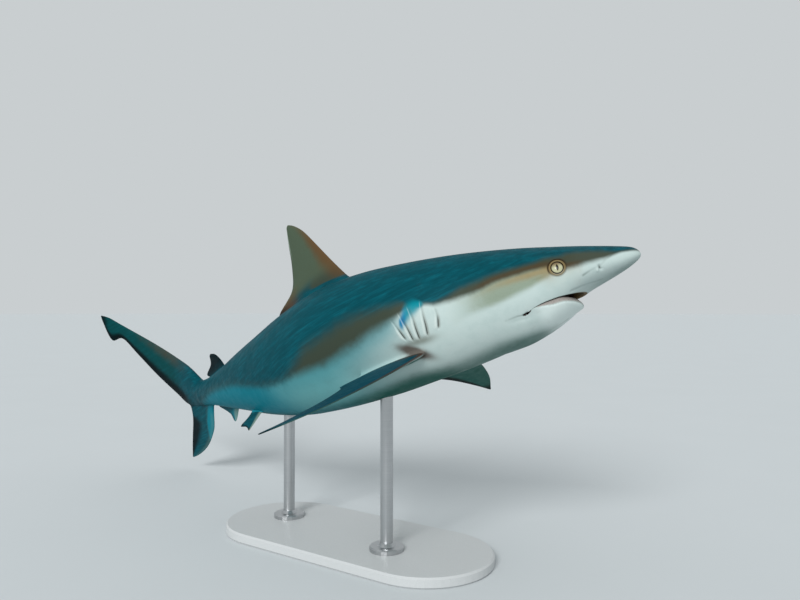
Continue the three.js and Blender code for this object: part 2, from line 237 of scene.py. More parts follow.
# Selects only these vertices, edges or faces of the active piece, and opens it for editing.
def editOn(piece, kind, chosen):
    mesh = piece.data
    for part in (mesh.vertices, mesh.edges, mesh.polygons):
        part.foreach_set("select", np.zeros(len(part), bool))
    getattr(mesh, kind).foreach_set("select", np.asarray(chosen, bool))
    bpy.ops.object.mode_set(mode="EDIT")
    bpy.ops.mesh.select_mode(type={"vertices": "VERT", "edges": "EDGE", "polygons": "FACE"}[kind])


def editOff():
    bpy.ops.object.mode_set(mode="OBJECT")


# A mask is a value for each vertex, which the materials read by its name.
def writeMask(piece, name, values, kind="FLOAT"):
    mesh = piece.data
    mask = mesh.attributes.get(name) or mesh.attributes.new(name, kind, "POINT")
    key = "vector" if kind == "FLOAT_VECTOR" else "value"
    mask.data.foreach_set(key, np.asarray(values, float).ravel())


def turnOutwards(piece):
    activate(piece)
    editOn(piece, "vertices", np.ones(len(piece.data.vertices)))
    bpy.ops.mesh.normals_make_consistent(inside=False)
    editOff()


def addModifier(piece, kind, **settings):
    activate(piece)
    bpy.ops.object.modifier_add(type=kind)
    modifier = piece.modifiers[-1]
    for key, value in settings.items():
        setattr(modifier, key, value)
    bpy.ops.object.modifier_apply(modifier=modifier.name)


# A smooth curve through points at even shares, from 0 to 1.
def curveThrough(points):
    points = np.array(points, float)
    last = len(points) - 1

    def read(share):
        place = np.clip(share, 0, 1) * last
        i = np.minimum(place.astype(int), last - 1)
        t = (place - i)[..., None]
        a, b, c, d = [points[np.clip(i + step, 0, last)] for step in (-1, 0, 1, 2)]
        straight = (c - a) * 0.5
        rest = a - 2.5 * b + 2 * c - 0.5 * d
        cubic = 1.5 * (b - c) + 0.5 * (d - a)
        return ((cubic * t + rest) * t + straight) * t + b
    return read


# Of each fin: lead and trail, its outlines from root to tip; thick, half its thickness in
# millimetres from root to tip; patch, the stations that it grows from; turn, its direction round
# the body in segments of the tube; levels, the rows of faces from root to tip.
# A paired fin's outline is the way back and the way out from its root. It lies flat to the axes
# at one station, then sweeps, droops, pitches, twists and bends (degrees, but for the bend).
pectoral = {
    "lead": [(-0.2, -1.2), (0.05, 0.6), (0.9, 5), (2.2, 10), (3.8, 14.5), (5.65, 17.9)],
    "trail": [(4.6, -1.2), (9.0, 2.4), (7.5, 4.8), (6.5, 8.5), (6.0, 13.5), (5.75, 17.7)],
    "thick": (7, 5.2, 3.6, 2.4, 1.5, 0.6),
    "root": (21.6, 5.1, -3.65), "axes": 24, "patch": (22.2, 26.6), "levels": 24,
}
pelvic = {
    "lead": [(0, -0.43), (0.43, 0.56), (1.24, 1.36), (2.23, 1.95)],
    "trail": [(2.6, -0.37), (4.28, 0.62), (2.91, 1.3), (2.33, 1.92)],
    "thick": (3.2, 2.4, 1.5, 0.6),
    "root": (50.0, 2.2, -4.12), "axes": 51, "patch": (50.4, 53.4), "levels": 8,
    "sweep": -27.7, "droop": 31.8, "pitch": 0, "twist": 0, "bend": -0.69,
}
fins = {
    "firstDorsal": {
        "lead": [(29.9, 6.2), (32.6, 9.6), (34.9, 12.6), (36.9, 15.1), (38.4, 16.3), (39.4, 16.75)],
        "trail": [(41.2, 5.6), (45.2, 6.5), (41.4, 8.7), (40.35, 11.4), (40.05, 14.2), (39.75, 16.5)],
        "thick": (9, 6.5, 4.6, 3.2, 2.1, 0.9),
        "patch": (31.0, 41.2), "turn": 16, "levels": 20,
    },
    "secondDorsal": {
        "lead": [(62.4, 2.4), (63.7, 4.2), (65.3, 5.3), (67.0, 5.6)],
        "trail": [(67.4, 2.0), (70.9, 2.65), (68.1, 4.0), (67.6, 5.35)],
        "thick": (3.6, 2.6, 1.7, 0.6),
        "patch": (63.2, 67.6), "turn": 16, "levels": 10,
    },
    "anal": {
        "lead": [(61.2, -2.4), (62.8, -3.9), (64.0, -4.8), (64.7, -5.1)],
        "trail": [(66.2, -1.9), (69.6, -2.35), (66.2, -3.4), (65.1, -4.9)],
        "thick": (3.4, 2.5, 1.6, 0.6),
        "patch": (62.0, 66.4), "turn": -16, "levels": 10,
    },
    "lowerLobe": {
        "lead": [(71.9, -0.9), (73.7, -4.9), (76.6, -7.2), (79.6, -9.0), (82.6, -10.3), (84.3, -10.75)],
        "trail": [(80.9, -0.6), (80.75, -2.6), (81.35, -4.3), (82.5, -6.4), (83.6, -8.6), (84.4, -10.6)],
        "thick": (7.5, 5.2, 3.6, 2.5, 1.6, 0.7),
        "patch": (72.0, 78.2), "turn": -16, "levels": 14,
        "start": 0.16,  # the share at which it leaves the tail
    },
    "pectoralLeft": {
        **pectoral, "side": 1, "turn": -6,
        "sweep": -4.5, "droop": 7, "pitch": -4.5, "twist": -14, "bend": -1.85,
    },
    "pectoralRight": {
        **pectoral, "side": -1, "turn": -26,
        "sweep": 10, "droop": 17, "pitch": -5, "twist": 2.5, "bend": 0.95,
    },
    "pelvicLeft": {**pelvic, "side": 1, "turn": -12},
    "pelvicRight": {**pelvic, "side": -1, "turn": -20},
}

upperLobe = {
    "lead": [(74.51, 2.1), (77.2, 4.6), (80.6, 6.75), (85, 9.5),
             (89.3, 12.1), (92.4, 14.0), (94.6, 15.4), (96.3, 16.0)],
    "trail": [(74.51, -1.95), (80.6, -1.5), (83.4, 0.7), (87.0, 4.3),
              (90.2, 8.3), (92.75, 11.5), (95.3, 11.45), (96.3, 15.3)],
    "thick": (19.5, 13, 8.5, 5.6, 3.8, 2.8, 1.8, 0.8),
    "oval": 0.25,  # the share over which it goes from the round stalk to a blade
}
finEdge = 0.4  # half thickness of the thin rear edge, in millimetres


def lens(chord):  # round front, thin rear
    return 2.6 * np.sqrt(chord) * (1 - chord)


def thickAt(fin, share):
    last = len(fin["thick"]) - 1
    return smoothTable([(i / last, half) for i, half in enumerate(fin["thick"])])(share)


# A point of a fin: share runs from root to tip, chord from front to rear, across is -1 to 1.
def finPoints(fin, share, chord, across):
    share, chord, across = np.broadcast_arrays(share, chord, across)
    lead, trail = curveThrough(fin["lead"])(share), curveThrough(fin["trail"])(share)
    spot = lead + (trail - lead) * chord[..., None]
    half = (lens(chord) * thickAt(fin, share) + finEdge) * across * millimetre
    if "side" not in fin:
        return np.stack([spot[..., 0], half, spot[..., 1]], -1)
    return unposed(pairedPlace(fin, spot[..., 0], spot[..., 1], half), fin["root"][0] + 4)


# Paired fins keep flat to axes of their own at the root.
def pairedPlace(fin, back, out, across):
    forward, left, up = axesAt(np.array(float(fin["axes"])))
    side = fin["side"]
    root = posed(np.array([fin["root"][0], side * fin["root"][1], fin["root"][2]], float))
    sweep, droop = radians(fin["sweep"]), radians(fin["droop"])
    tipBack, tipOut = fin["lead"][-1]
    slant = 0.6 * tan(sweep + atan(tipBack / tipOut))  # the line that the fin pitches about
    share = np.clip(out / tipOut, 0, 1)
    behind = back * np.cos(sweep) + out * np.sin(sweep)
    aside = out * np.cos(sweep) - back * np.sin(sweep)
    pitch = np.radians(fin["pitch"] + fin["twist"] * share)
    lift = (behind - slant * aside) * np.tan(pitch) + fin["bend"] * share ** 2
    outward = aside * np.cos(droop) + across * np.sin(droop)
    upward = across * np.cos(droop) - aside * np.sin(droop) + lift
    return root + percent * (-behind[..., None] * forward + side * outward[..., None] * left
                             + upward[..., None] * up)


# The share at which each line of a fin, run from root to tip, comes out of the body.
def exitShares(fin, chord, across):
    shares = np.linspace(0, 0.6, 121)
    points = finPoints(fin, shares[:, None], chord[None], across[None])
    back, belly, width = sectionAt(points[..., 0])
    depth = np.where(points[..., 2] > 0, back, belly)
    gauge = (points[..., 1] / width) ** 2 + (points[..., 2] / depth) ** 2 - 1
    last = np.array([np.max(np.nonzero(line < 0)[0], initial=0) for line in gauge.T])
    here, after = gauge[last, range(len(last))], gauge[last + 1, range(len(last))]
    return shares[last] + (shares[1] - shares[0]) * np.clip(here / (here - after), 0, 1)


skinGrid = {
    "segments": 64,
    # station, distance between rings
    "spacing": [(0.3, 0.09), (1.6, 0.26), (4, 0.38), (18.5, 0.38), (19.5, 0.28), (24, 0.28),
                (27, 0.5), (31, 0.72), (72, 0.72), (76, 0.55), (100, 0.8)],
    # the grid is evened out round the fins between these stations, this many times
    "evened": (20, 90), "rounds": 12,
    "close": 0.02,  # how near counts as on the tube or on its axis, in tube radii
}

eye = {
    "station": 7.95, "height": 0.45,
    "patch": 2,  # rings and segments on each side of the middle
    # radius and depth of each fold of the lids, in millimetres
    "folds": [(13.9, 0.0), (12.9, 0.9), (12.0, 0.0), (11.1, -0.9), (10.0, -0.9), (9.25, 0.2), (9.0, 2.4),
              (8.6, 9)],
    "step": 0.1,  # between two folds in the tube, in tube radii
    "turns": {1: 1, -1: 31},  # the direction of the left and the right eye, in segments
}


def ringStations():
    spacing = smoothTable(skinGrid["spacing"])
    stations = [shark["nose"] + 0.1]
    while stations[-1] < shark["tailEnd"] - 0.4:
        stations.append(stations[-1] + float(spacing(stations[-1])))
    return np.array(stations)


# A sphere's rings and segments become the stations and turns of a tube of radius 1.
def layTube(stations):
    deselectAll()
    rings = len(stations) + 1
    bpy.ops.mesh.primitive_uv_sphere_add(segments=skinGrid["segments"], ring_count=rings, radius=1)
    skin = bpy.context.object
    skin.name = "shark_skin"
    ball = readPoints(skin)
    ring = np.rint(np.arccos(np.clip(ball[:, 2], -1, 1)) / pi * rings).astype(int)
    turn = np.arctan2(ball[:, 1], ball[:, 0])
    pole = (ring == 0) | (ring == rings)
    along = np.concatenate([[0], stations, [shark["tailEnd"]]])[ring]
    tube = np.stack([along, np.cos(turn) * ~pole, np.sin(turn) * ~pole], -1)
    writePoints(skin, tube)
    return skin


segmentTurn = 2 * pi / skinGrid["segments"]


def apart(turn, centre):  # from a direction, given in segments, to a turn
    return np.angle(np.exp(1j * (turn - centre * segmentTurn))) / segmentTurn


# Extrudes a patch of the tube outwards or inwards, one level for each radius.
def growPatch(skin, first, last, turn, reach, radii):
    centres = faceCentres(skin)
    beside = np.abs(apart(np.arctan2(centres[:, 2], centres[:, 1]), turn)) < reach
    within = (centres[:, 0] > first) & (centres[:, 0] < last)
    skinDeep = np.abs(np.hypot(centres[:, 1], centres[:, 2]) - 1) < 2 * skinGrid["close"]
    activate(skin)
    editOn(skin, "polygons", beside & within & skinDeep)
    for inner, outer in zip([1] + radii[:-1], radii):
        bpy.ops.mesh.extrude_region_move()
        swell = outer / inner
        bpy.ops.transform.resize(value=(1, swell, swell), center_override=(0, 0, 0))
    editOff()


def nearest(stations, station):
    return stations[np.argmin(np.abs(stations - station))]


def buildSkinTube(stations):
    skin = layTube(stations)
    for fin in fins.values():
        first, last = [nearest(stations, end) for end in fin["patch"]]
        fin["rings"] = stations[(stations >= first) & (stations <= last)]
        growPatch(skin, first, last, fin["turn"], 1, [1.0 + level for level in range(1, fin["levels"] + 1)])
    middle = np.argmin(np.abs(stations - eye["station"]))
    reach = eye["patch"]
    eye["rings"] = stations[middle - reach:middle + reach + 1]
    for turn in eye["turns"].values():
        radii = [1 - eye["step"] * level for level in range(1, len(eye["folds"]))]
        growPatch(skin, eye["rings"][0], eye["rings"][-1], turn, reach, radii)
    return skin


# The vertices of a fin in the tube, with the level, chord and side of each.
def finLayout(fin, station, turn, radius):
    ring = np.argmin(np.abs(station[:, None] - fin["rings"][None]), 1)
    side = np.rint(apart(turn, fin["turn"])).astype(int)
    onRing = np.abs(station - fin["rings"][ring]) < 1e-3
    level = np.rint(radius - 1).astype(int)
    last = len(fin["rings"]) - 1
    edge = (np.abs(side) == 1) | (ring == 0) | (ring == last)
    outside = radius > 1 - skinGrid["close"]
    index = np.nonzero(onRing & (np.abs(side) < 2) & outside & ((level > 0) | edge))[0]
    ring, side, level = ring[index], side[index], level[index]
    chord = (1 - np.cos(pi * (ring + 0.5) / (last + 1))) / 2
    chord = np.where((side == 0) & (ring == 0), 0, chord)
    chord = np.where((side == 0) & (ring == last), 1, chord)
    # turns grow from the left side over the back, and a fin's own left or upper side is plus
    across = side if -16 <= fin["turn"] < 0 else -side
    return index, level, chord, across


# Lays the tube out as the straight shark. The foot of each fin moves to where the fin comes out
# of the body.
def layStraight(skin):
    tube = readPoints(skin)
    station, turn = tube[:, 0], np.arctan2(tube[:, 2], tube[:, 1])
    radius = np.hypot(tube[:, 1], tube[:, 2])
    count = len(tube)
    span, chordMask, laid = np.zeros(count), np.zeros(count), np.zeros((count, 3))
    fixed, placed = np.zeros((2, count), bool)
    for fin in fins.values():
        index, level, chord, across = finLayout(fin, station, turn, radius)
        start = np.full(len(index), fin["start"]) if "start" in fin else exitShares(fin, chord, across)
        share = start + (1 - start) * level / fin["levels"]
        points = finPoints(fin, share, chord, across)
        above = level > 0
        laid[index[above]], placed[index[above]] = points[above], True
        span[index] = np.where(above, (share - start) / (1 - start), 0)
        chordMask[index] = chord
        foot = index[~above]
        fixed[foot] = True
        if "start" not in fin:
            back, belly, width = sectionAt(points[~above, 0])
            height = points[~above, 2]
            station[foot] = points[~above, 0]
            turn[foot] = np.arctan2(height / np.where(height > 0, back, belly), points[~above, 1] / width)
    # the rings near each foot give way to it
    skinDeep, onAxis = np.abs(radius - 1) < skinGrid["close"], radius < skinGrid["close"]
    station, turn = relaxed(skin, station, turn, skinDeep & ~fixed)
    onBody = ~placed & skinDeep | onAxis
    body = onBody & (station <= shark["stalkEnd"])
    lobe = onBody & (station > shark["stalkEnd"])
    laid[body] = bodyPoints(station[body], turn[body])
    laid[lobe] = lobePoints(station[lobe], turn[lobe])
    chordMask[lobe] = lobeChord(turn[lobe])
    span[lobe] = lobeShare(station[lobe])
    laid[onAxis, 1] = 0
    laid[onAxis & (station < 1)] = (shark["nose"], 0, 0)
    layEyes(laid, tube, radius)
    writePoints(skin, laid)
    writeMask(skin, "span", span)
    writeMask(skin, "chord", chordMask)


# Evens out the tube's grid around the feet of the fins, which stay where they are.
def relaxed(skin, station, turn, loose):
    ends = edgeEnds(skin)
    first, last = skinGrid["evened"]
    near = loose & (station > first) & (station < last)
    both = np.concatenate([ends, ends[:, ::-1]])
    both = both[near[both[:, 0]]]
    count = np.bincount(both[:, 0], minlength=len(station))
    for _ in range(skinGrid["rounds"]):
        spots = np.stack([station, np.cos(turn), np.sin(turn)])
        mean = np.array([np.bincount(both[:, 0], row[both[:, 1]], len(station)) for row in spots])
        mean[:, near] /= count[near]
        station = np.where(near, mean[0], station)
        turn = np.where(near, np.arctan2(mean[2], mean[1]), turn)
    return station, turn


def lobeShare(station):
    return (station - shark["stalkEnd"]) / (shark["tailEnd"] - shark["stalkEnd"])


def lobeChord(turn):
    return (1 - np.sin(turn)) / 2


def lobePoints(station, turn):
    share, chord, aside = lobeShare(station), lobeChord(turn), np.cos(turn)
    lead, trail = curveThrough(upperLobe["lead"])(share), curveThrough(upperLobe["trail"])(share)
    spot = lead + (trail - lead) * chord[..., None]
    fullness = 1 - smoothStep(0, upperLobe["oval"], share)
    shape = lens(chord) * (1 - fullness) + np.abs(aside) * fullness
    rim = finEdge * np.clip(np.abs(aside) * 8, 0, 1)
    half = (shape * thickAt(upperLobe, share) + rim) * millimetre
    return np.stack([spot[:, 0], np.sign(aside) * half, spot[:, 1]], -1)


# The lids are round folds, laid in circles round the eye's middle.
def layEyes(laid, tube, radius):
    reach = eye["patch"]
    ring = np.argmin(np.abs(tube[:, 0][:, None] - eye["rings"][None]), 1) - reach
    onRing = np.abs(tube[:, 0] - eye["rings"][ring + reach]) < 1e-3
    level = np.rint((1 - radius) / eye["step"]).astype(int)
    for side, middle in eye["turns"].items():
        up = np.rint(apart(np.arctan2(tube[:, 2], tube[:, 1]), middle)) * side
        square = np.maximum(np.abs(ring), np.abs(up))
        mine = onRing & (square <= reach) & (radius > 0.1) & (radius < 1.01)
        mine &= (level > 0) | (square == reach)
        wide = np.abs(ring) >= np.abs(up)
        slope = np.where(wide, up / np.maximum(np.abs(ring), 1), ring / np.maximum(np.abs(up), 1)) * pi / 4
        flatTurn = np.where(wide, np.where(ring >= 0, slope, pi - slope),
                            np.where(up > 0, pi / 2 - slope, slope - pi / 2))
        size, depth = np.array(eye["folds"]).T[:, np.clip(level, 0, len(eye["folds"]) - 1)] * millimetre
        size = size * square / reach
        a = eye["station"] + size * np.cos(flatTurn)
        z = eye["height"] + size * np.sin(flatTurn)
        spot = np.stack([a, side * (skinSide(a, z) - depth), z], -1)
        laid[mine] = spot[mine]


mouth = {
    "plane": -2.07,  # height of the line between the lips
    "front": 5, "corner": 12.1,  # stations between which the skin is cut open
    # station, how far the line between the lips turns down
    "cornerDrop": [(8.6, 0), (9.97, 0.14), (10.95, 0.34), (11.6, 0.6), (12.1, 0.74), (13.2, 0.74), (15, 0)],
    "throat": 15.5,  # the jaw draws the throat down to here
    "setBack": 0.66,  # how far the chin lies behind the upper lip
    # station, how far the lip of the jaw hangs below the upper lip
    "rimDrop": [(6.5, 0.8), (6.75, 0.55), (7.2, 0.3), (7.8, 0.1), (8.4, 0.0), (11.4, 0.0), (11.75, 0.08),
                (12.1, 0.0)],
    # station, how far the chin and throat are lowered
    "chinDrop": [(6.5, 1.25), (6.8, 1.32), (7.2, 1.15), (7.9, 0.88), (8.9, 0.7), (10.9, 0.55), (12.4, 0.42),
                 (14, 0.18), (15.5, 0)],
    # station, height of the gum that shows above the lip of the jaw
    "gum": [(6.6, 1), (9.2, 1), (10.2, 0.5), (11.2, 0.12), (12.1, 0.08)],
    # each step of the lips: how far inwards, and how far above or below the edge of the skin
    "lowerLip": [(-0.02, 0.12), (0.0, 0.27), (0.06, 0.41), (0.17, 0.53), (0.32, 0.61), (0.50, 0.60),
                 (0.68, 0.4), (0.8, 0.1), (1.05, -0.15), (1.9, -0.25)],
    "upperLip": [(0.05, -0.02), (0.13, -0.03), (0.24, -0.02), (0.36, 0.03), (0.48, 0.14), (0.62, 0.3),
                 (0.8, 0.5), (1.1, 0.75), (1.7, 0.95), (2.4, 1.0)],
    "middle": (10.8, 0, -2.4),  # where the lining closes
    "gumSteps": 7,  # steps of the lower lip that are gum
    # how the rim of the jaw is rounded: back to which station, how far out, how many rounds
    "rimSoft": [(11, 0.5, 14), (7.6, 0.9, 12)],
    "gumHeight": 0.62,  # how much lower the lip of the jaw hangs where the gum is at its highest
    # the pit at each corner, its depth and width in millimetres
    "pit": [(11.75, -4.5, -2.7), (11.95, -4.5, -2.78), (12.15, -4.5, -2.86)],
    "pitDepth": 1.6, "pitWidth": 1.8,
}


def refine(skin, low, high, cuts=1):  # splits the faces whose middles lie in a box
    centres = faceCentres(skin)
    centres[:, 1] = np.abs(centres[:, 1])
    activate(skin)
    editOn(skin, "polygons", np.all((centres > low) & (centres < high), 1))
    bpy.ops.mesh.subdivide(number_cuts=cuts)
    editOff()


# The mean height of the faces round each vertex, which tells the two lips apart.
def faceHeights(skin):
    mesh = skin.data
    corners = readAll(mesh.loops, "vertex_index", kind=int)
    sides = readAll(mesh.polygons, "loop_total", kind=int)
    heights = np.repeat(faceCentres(skin)[:, 2], sides)
    total = np.bincount(corners, heights, len(mesh.vertices))
    return total / np.maximum(np.bincount(corners, minlength=len(mesh.vertices)), 1)


def borderEdges(skin):
    used = readAll(skin.data.loops, "edge_index", kind=int)
    return np.bincount(used, minlength=len(skin.data.edges)) == 1


def onJaw(skin):
    return readMask(skin, "jaw") > 0.5


# Cuts the skin along the line between the lips, then shapes both sides of the cut.
def openMouth(skin):
    plane, front, corner = mouth["plane"], mouth["front"], mouth["corner"]
    refine(skin, (front + 0.3, -1, plane - 0.8), (corner + 1.5, 9, plane + 0.6))
    station, _, height = faceCentres(skin).T
    activate(skin)
    editOn(skin, "polygons", (station > front) & (station < corner + 0.6) & (np.abs(height - plane) < 0.6))
    bpy.ops.mesh.bisect(plane_co=(0, 0, plane), plane_no=(0, 0, 1), threshold=0.002)
    editOff()
    points = readPoints(skin)
    onLine = (np.abs(points[:, 2] - plane) < 0.0025) & (points[:, 0] > front) & (points[:, 0] < corner + 0.5)
    points[onLine, 2] = plane
    writePoints(skin, points)
    ends = edgeEnds(skin)
    editOn(skin, "edges", onLine[ends].all(1) & (points[ends, 0].max(1) < corner))
    bpy.ops.mesh.edge_split(type="EDGE")
    editOff()
    writeMask(skin, "jaw", faceHeights(skin) < plane)
    dropJaw(skin)
    rollLips(skin)


# The jaw hangs a little open and the line between the lips turns down at its corners.
def dropJaw(skin):
    points = readPoints(skin)
    plane = mouth["plane"]
    below = onJaw(skin) & (points[:, 2] < plane + 1e-4) & (points[:, 0] < mouth["throat"])
    station, _, height = points[below].T
    belly = sectionAt(station)[1]
    station = station + mouth["setBack"] * (1 - smoothStep(5.9, 9.5, station))
    deep = np.clip((plane - height) / np.maximum(belly + plane, 0.05), 0, 1)
    rim = smoothTable(mouth["rimDrop"])(station) + mouth["gumHeight"] * smoothTable(mouth["gum"])(station)
    rim *= 1 - smoothStep(11.9, 12.2, station)
    chin = smoothTable(mouth["chinDrop"])(station)
    points[below, 0] = station
    points[below, 2] -= rim + (chin - rim) * smoothStep(0, 1, deep)
    # the corners turn down
    drop = smoothTable(mouth["cornerDrop"])(points[:, 0]) * bump(plane, 1.6, points[:, 2])
    near = drop > 0
    station, side, height = points[near].T
    wider = skinSide(station, height - drop[near]) - skinSide(station, height)
    points[near, 1] += np.sign(side) * wider
    points[near, 2] -= drop[near]
    writePoints(skin, points)


# Rolls both lips inwards step by step and closes the mouth behind them.
def rollLips(skin):
    points = readPoints(skin)
    border = borderEdges(skin)
    loop = np.unique(edgeEnds(skin)[border])
    lip = np.zeros(len(points))
    lip[loop] = np.arange(1, len(loop) + 1)
    writeMask(skin, "lip", lip)
    start = points[loop]
    lower = onJaw(skin)[loop]
    steps = len(mouth["lowerLip"])
    lift = 100  # each step is kept apart by its height until it is laid out
    activate(skin)
    editOn(skin, "edges", border)
    for _ in range(steps + 1):
        bpy.ops.mesh.extrude_region_move()
        bpy.ops.transform.translate(value=(0, 0, lift))
    bpy.ops.mesh.merge(type="CENTER")
    editOff()
    points = readPoints(skin)
    step = np.rint(points[:, 2] / lift).astype(int)
    which = np.rint(readMask(skin, "lip")).astype(int) - 1
    inward = np.array(mouth["middle"]) - start
    inward[:, 2] = 0
    inward /= np.linalg.norm(inward, axis=1)[:, None]
    isCorner = start[:, 0] > np.max(start[:, 0]) - 0.02
    gum = smoothTable(mouth["gum"])(start[:, 0])
    thin = 1 - 0.6 * smoothStep(9, 12, start[:, 0])
    lips = zip(mouth["lowerLip"], mouth["upperLip"])
    for level, ((inLower, upLower), (inUpper, upUpper)) in enumerate(lips, 1):
        here = step == level
        at = which[here]
        reach = np.where(lower[at], inLower, inUpper) * thin[at]
        upJaw = upLower * (gum[at] if upLower > 0 else thin[at])
        rise = np.where(lower[at], upJaw, upUpper * thin[at])
        points[here] = start[at] + inward[at] * reach[:, None]
        points[here, 2] += np.where(isCorner[at], 0, rise)
    points[step > steps] = mouth["middle"]
    writePoints(skin, points)
    isLower = np.zeros(len(points), bool)
    isLower[step > 0] = lower[np.clip(which[step > 0], 0, len(start) - 1)]
    onEdge = (which >= 0) & (step == 0)
    paintMouth(skin, points[:, 0], step, isLower, onEdge)
    softenRim(skin, start[lower], isLower & (step <= 4) | onEdge & onJaw(skin))


# The masks of the gum, its pits, the lining darkened by painted shade, and the palate.
def paintMouth(skin, station, step, isLower, onEdge):
    isLip = step > 0
    isGum = isLip & isLower & (step <= mouth["gumSteps"])
    gum = np.maximum(isGum * np.clip(0.4 + step / 3, 0, 1), 0.3 * (onEdge & onJaw(skin)))
    gum *= 0.7 + 0.3 * smoothStep(6.6, 8, station)
    writeMask(skin, "gum", gum * (1 - smoothStep(10.3, 11.3, station)))
    writeMask(skin, "gumPits", isGum * bump(1.8, 3, step) * (1 - smoothStep(9.6, 10.6, station)))
    # painted shade: the lining inside the lips is darkened
    writeMask(skin, "liningShade", isLip & ~isGum & (step > 1) | (isLip | onEdge) & (station > 11.4))
    writeMask(skin, "palate", (isLip & ~isLower & (step > 1)) * (1 - smoothStep(6.8, 8.0, station)))


# Rounds the rim of the jaw, where the skin turns over into the lip.
def softenRim(skin, rim, rolled):
    points = readPoints(skin)
    rimEnd = mouth["rimSoft"][0][0]
    gap = np.full(len(points), np.inf)
    for vertex in np.nonzero(jawSkin(skin) & (points[:, 0] < rimEnd))[0]:
        gap[vertex] = np.min(np.linalg.norm(rim - points[vertex], axis=1))
    for last, reach, rounds in mouth["rimSoft"]:
        activate(skin)
        editOn(skin, "vertices", (rolled | (gap < reach)) & (points[:, 0] < last))
        bpy.ops.mesh.vertices_smooth(factor=0.5, repeat=rounds)
        editOff()


def jawSkin(skin):  # the jaw's vertices outside the lips
    return onJaw(skin) & (readMask(skin, "lip") < 0.5)


gills = {
    # the line of each slit: height and station, from top to bottom
    "lines": [
        [(0.3, 19.48), (-0.7, 19.42), (-1.95, 19.68)],
        [(1.25, 20.5), (0.2, 20.58), (-1.0, 20.6), (-2.3, 20.76)],
        [(1.1, 21.75), (0.4, 21.62), (-0.5, 21.52), (-2.45, 21.54)],
        [(0.8, 22.72), (-0.1, 22.46), (-1.2, 22.22), (-2.4, 22.1)],
        [(0.25, 23.48), (-0.5, 23.2), (-1.1, 23.0), (-2.15, 22.68)],
    ],
    # millimetres behind the line, how far out the skin stands
    "profile": [(-6, 0), (-1.9, -0.5), (-0.7, -1), (0.2, -1.9), (0.8, -1.9), (2.2, 0.75), (3.2, 1), (6, 0.5),
                (12, 0)],
    # how far the whole region swells in millimetres, with its middle and reach in station and height
    "swell": 1.5, "middle": (21.3, -0.7), "reach": (3.2, 2.6),
}

# shallow grooves, given on the right side: station, side and height; depth and width in millimetres; shade,
# the strength of the painted shade along each groove
grooves = {
    "nostril": {"line": [(2.5, -2.5, 0.62), (3.48, -3.33, 0.12), (4.14, -3.62, -0.4), (5.04, -3.95, -0.62),
                         (5.9, -4.1, -0.9)], "depth": 1.2, "width": 1.7, "shade": 0.8},
    "underSnout": {"line": [(4.6, -1.95, -1.62), (6.27, -3.22, -1.75), (7.4, -3.85, -1.9)],
                   "depth": 0.7, "width": 2.4, "shade": 0.3},
    "behindEye": {"line": [(8.9, -4.95, -0.2), (9.64, -5.15, -0.05), (10.6, -5.25, 0.07)],
                  "depth": 0.4, "width": 1.0, "shade": 0.6},
    "labial": {"line": [(12.2, -4.5, -2.8), (12.76, -4.6, -2.76), (13.9, -4.62, -2.82)],
               "depth": 0.4, "width": 1.4, "shade": 0.55},
    "throat": {"line": [(8.6, -0.9, -4.1), (10.2, -1.5, -4.4), (11.28, -1.95, -4.55), (12.6, -2.3, -4.62),
                        (13.8, -2.6, -4.55), (15.2, -2.8, -4.5)], "depth": 1.2, "width": 3.0, "shade": 0.5},
}
nostril = {
    "line": [(4.36, -3.45, -0.3), (4.3, -3.42, -0.6), (4.1, -3.3, -0.88), (3.78, -3.1, -1.0)],
    "flapLine": [(4.62, -3.55, -0.5), (4.62, -3.5, -0.8), (4.42, -3.35, -1.06)],
    # millimetres: the hole, how far its flap stands out, and how wide the flap and its painted highlight are
    "width": 1.8, "depth": 3.4, "flap": 1.3, "flapWidth": 1.5, "flapHighlight": 1.2,
    "shade": 0.75,
}


# Millimetres to a line of points, which is mirrored for points on the left side.
def distanceTo(points, line):
    spot = points * np.array([1, -1, 1]) if np.mean(points[:, 1]) > 0 else points
    best = np.full(len(points), np.inf)
    for a, b in zip(line[:-1], line[1:]):
        a, b = np.array(a), np.array(b)
        share = np.clip((spot - a) @ (b - a) / np.sum((b - a) ** 2), 0, 1)
        best = np.minimum(best, np.linalg.norm(spot - a - share[:, None] * (b - a), axis=1))
    return best / millimetre


# How far the skin stands out round the gills, in millimetres, with the marks that follow them: painted shade
# in and ahead of each slit and a painted highlight on its crest.
def gillRelief(points):
    a, y, z = points.T
    middle, reach = gills["middle"], gills["reach"]
    flank = (np.abs(y) > 4.5) & (a > 17) & (a < 26)
    out = gills["swell"] * bump(middle[0], reach[0], a) * bump(middle[1], reach[1], z) * flank
    profile = smoothTable(gills["profile"])
    marks = {name: np.zeros(len(points)) for name in ("slit", "gillShade", "gillHighlight")}
    for line in gills["lines"]:
        rising = sorted(line)
        behind = (a - smoothTable(rising)(z)) / millimetre
        low, high = rising[0][0], rising[-1][0]
        fade = smoothStep(low - 0.1, low + 0.4, z) * (1 - smoothStep(high - 0.5, high + 0.1, z)) * flank
        lowerHalf = 1 - 0.8 * smoothStep(low + 0.7, high - 0.6, z)
        out += profile(behind) * fade * (0.15 + 0.85 * lowerHalf)
        # painted shade in and ahead of each slit, and a painted highlight on the crest behind it
        near = {
            "slit": bump(0.4, 1.7, behind) * lowerHalf * 0.85,
            "gillShade": smoothStep(-5, -0.5, behind) * (1 - smoothStep(0.3, 1, behind))
            * (0.3 + 0.7 * lowerHalf),
            "gillHighlight": smoothStep(0.8, 2.0, behind) * (1 - smoothStep(2.0, 7 * lowerHalf + 1.6, behind))
            * (0.5 + 0.5 * lowerHalf),
        }
        for mark, share in near.items():
            marks[mark] = np.maximum(marks[mark], share * fade)
    return out, marks
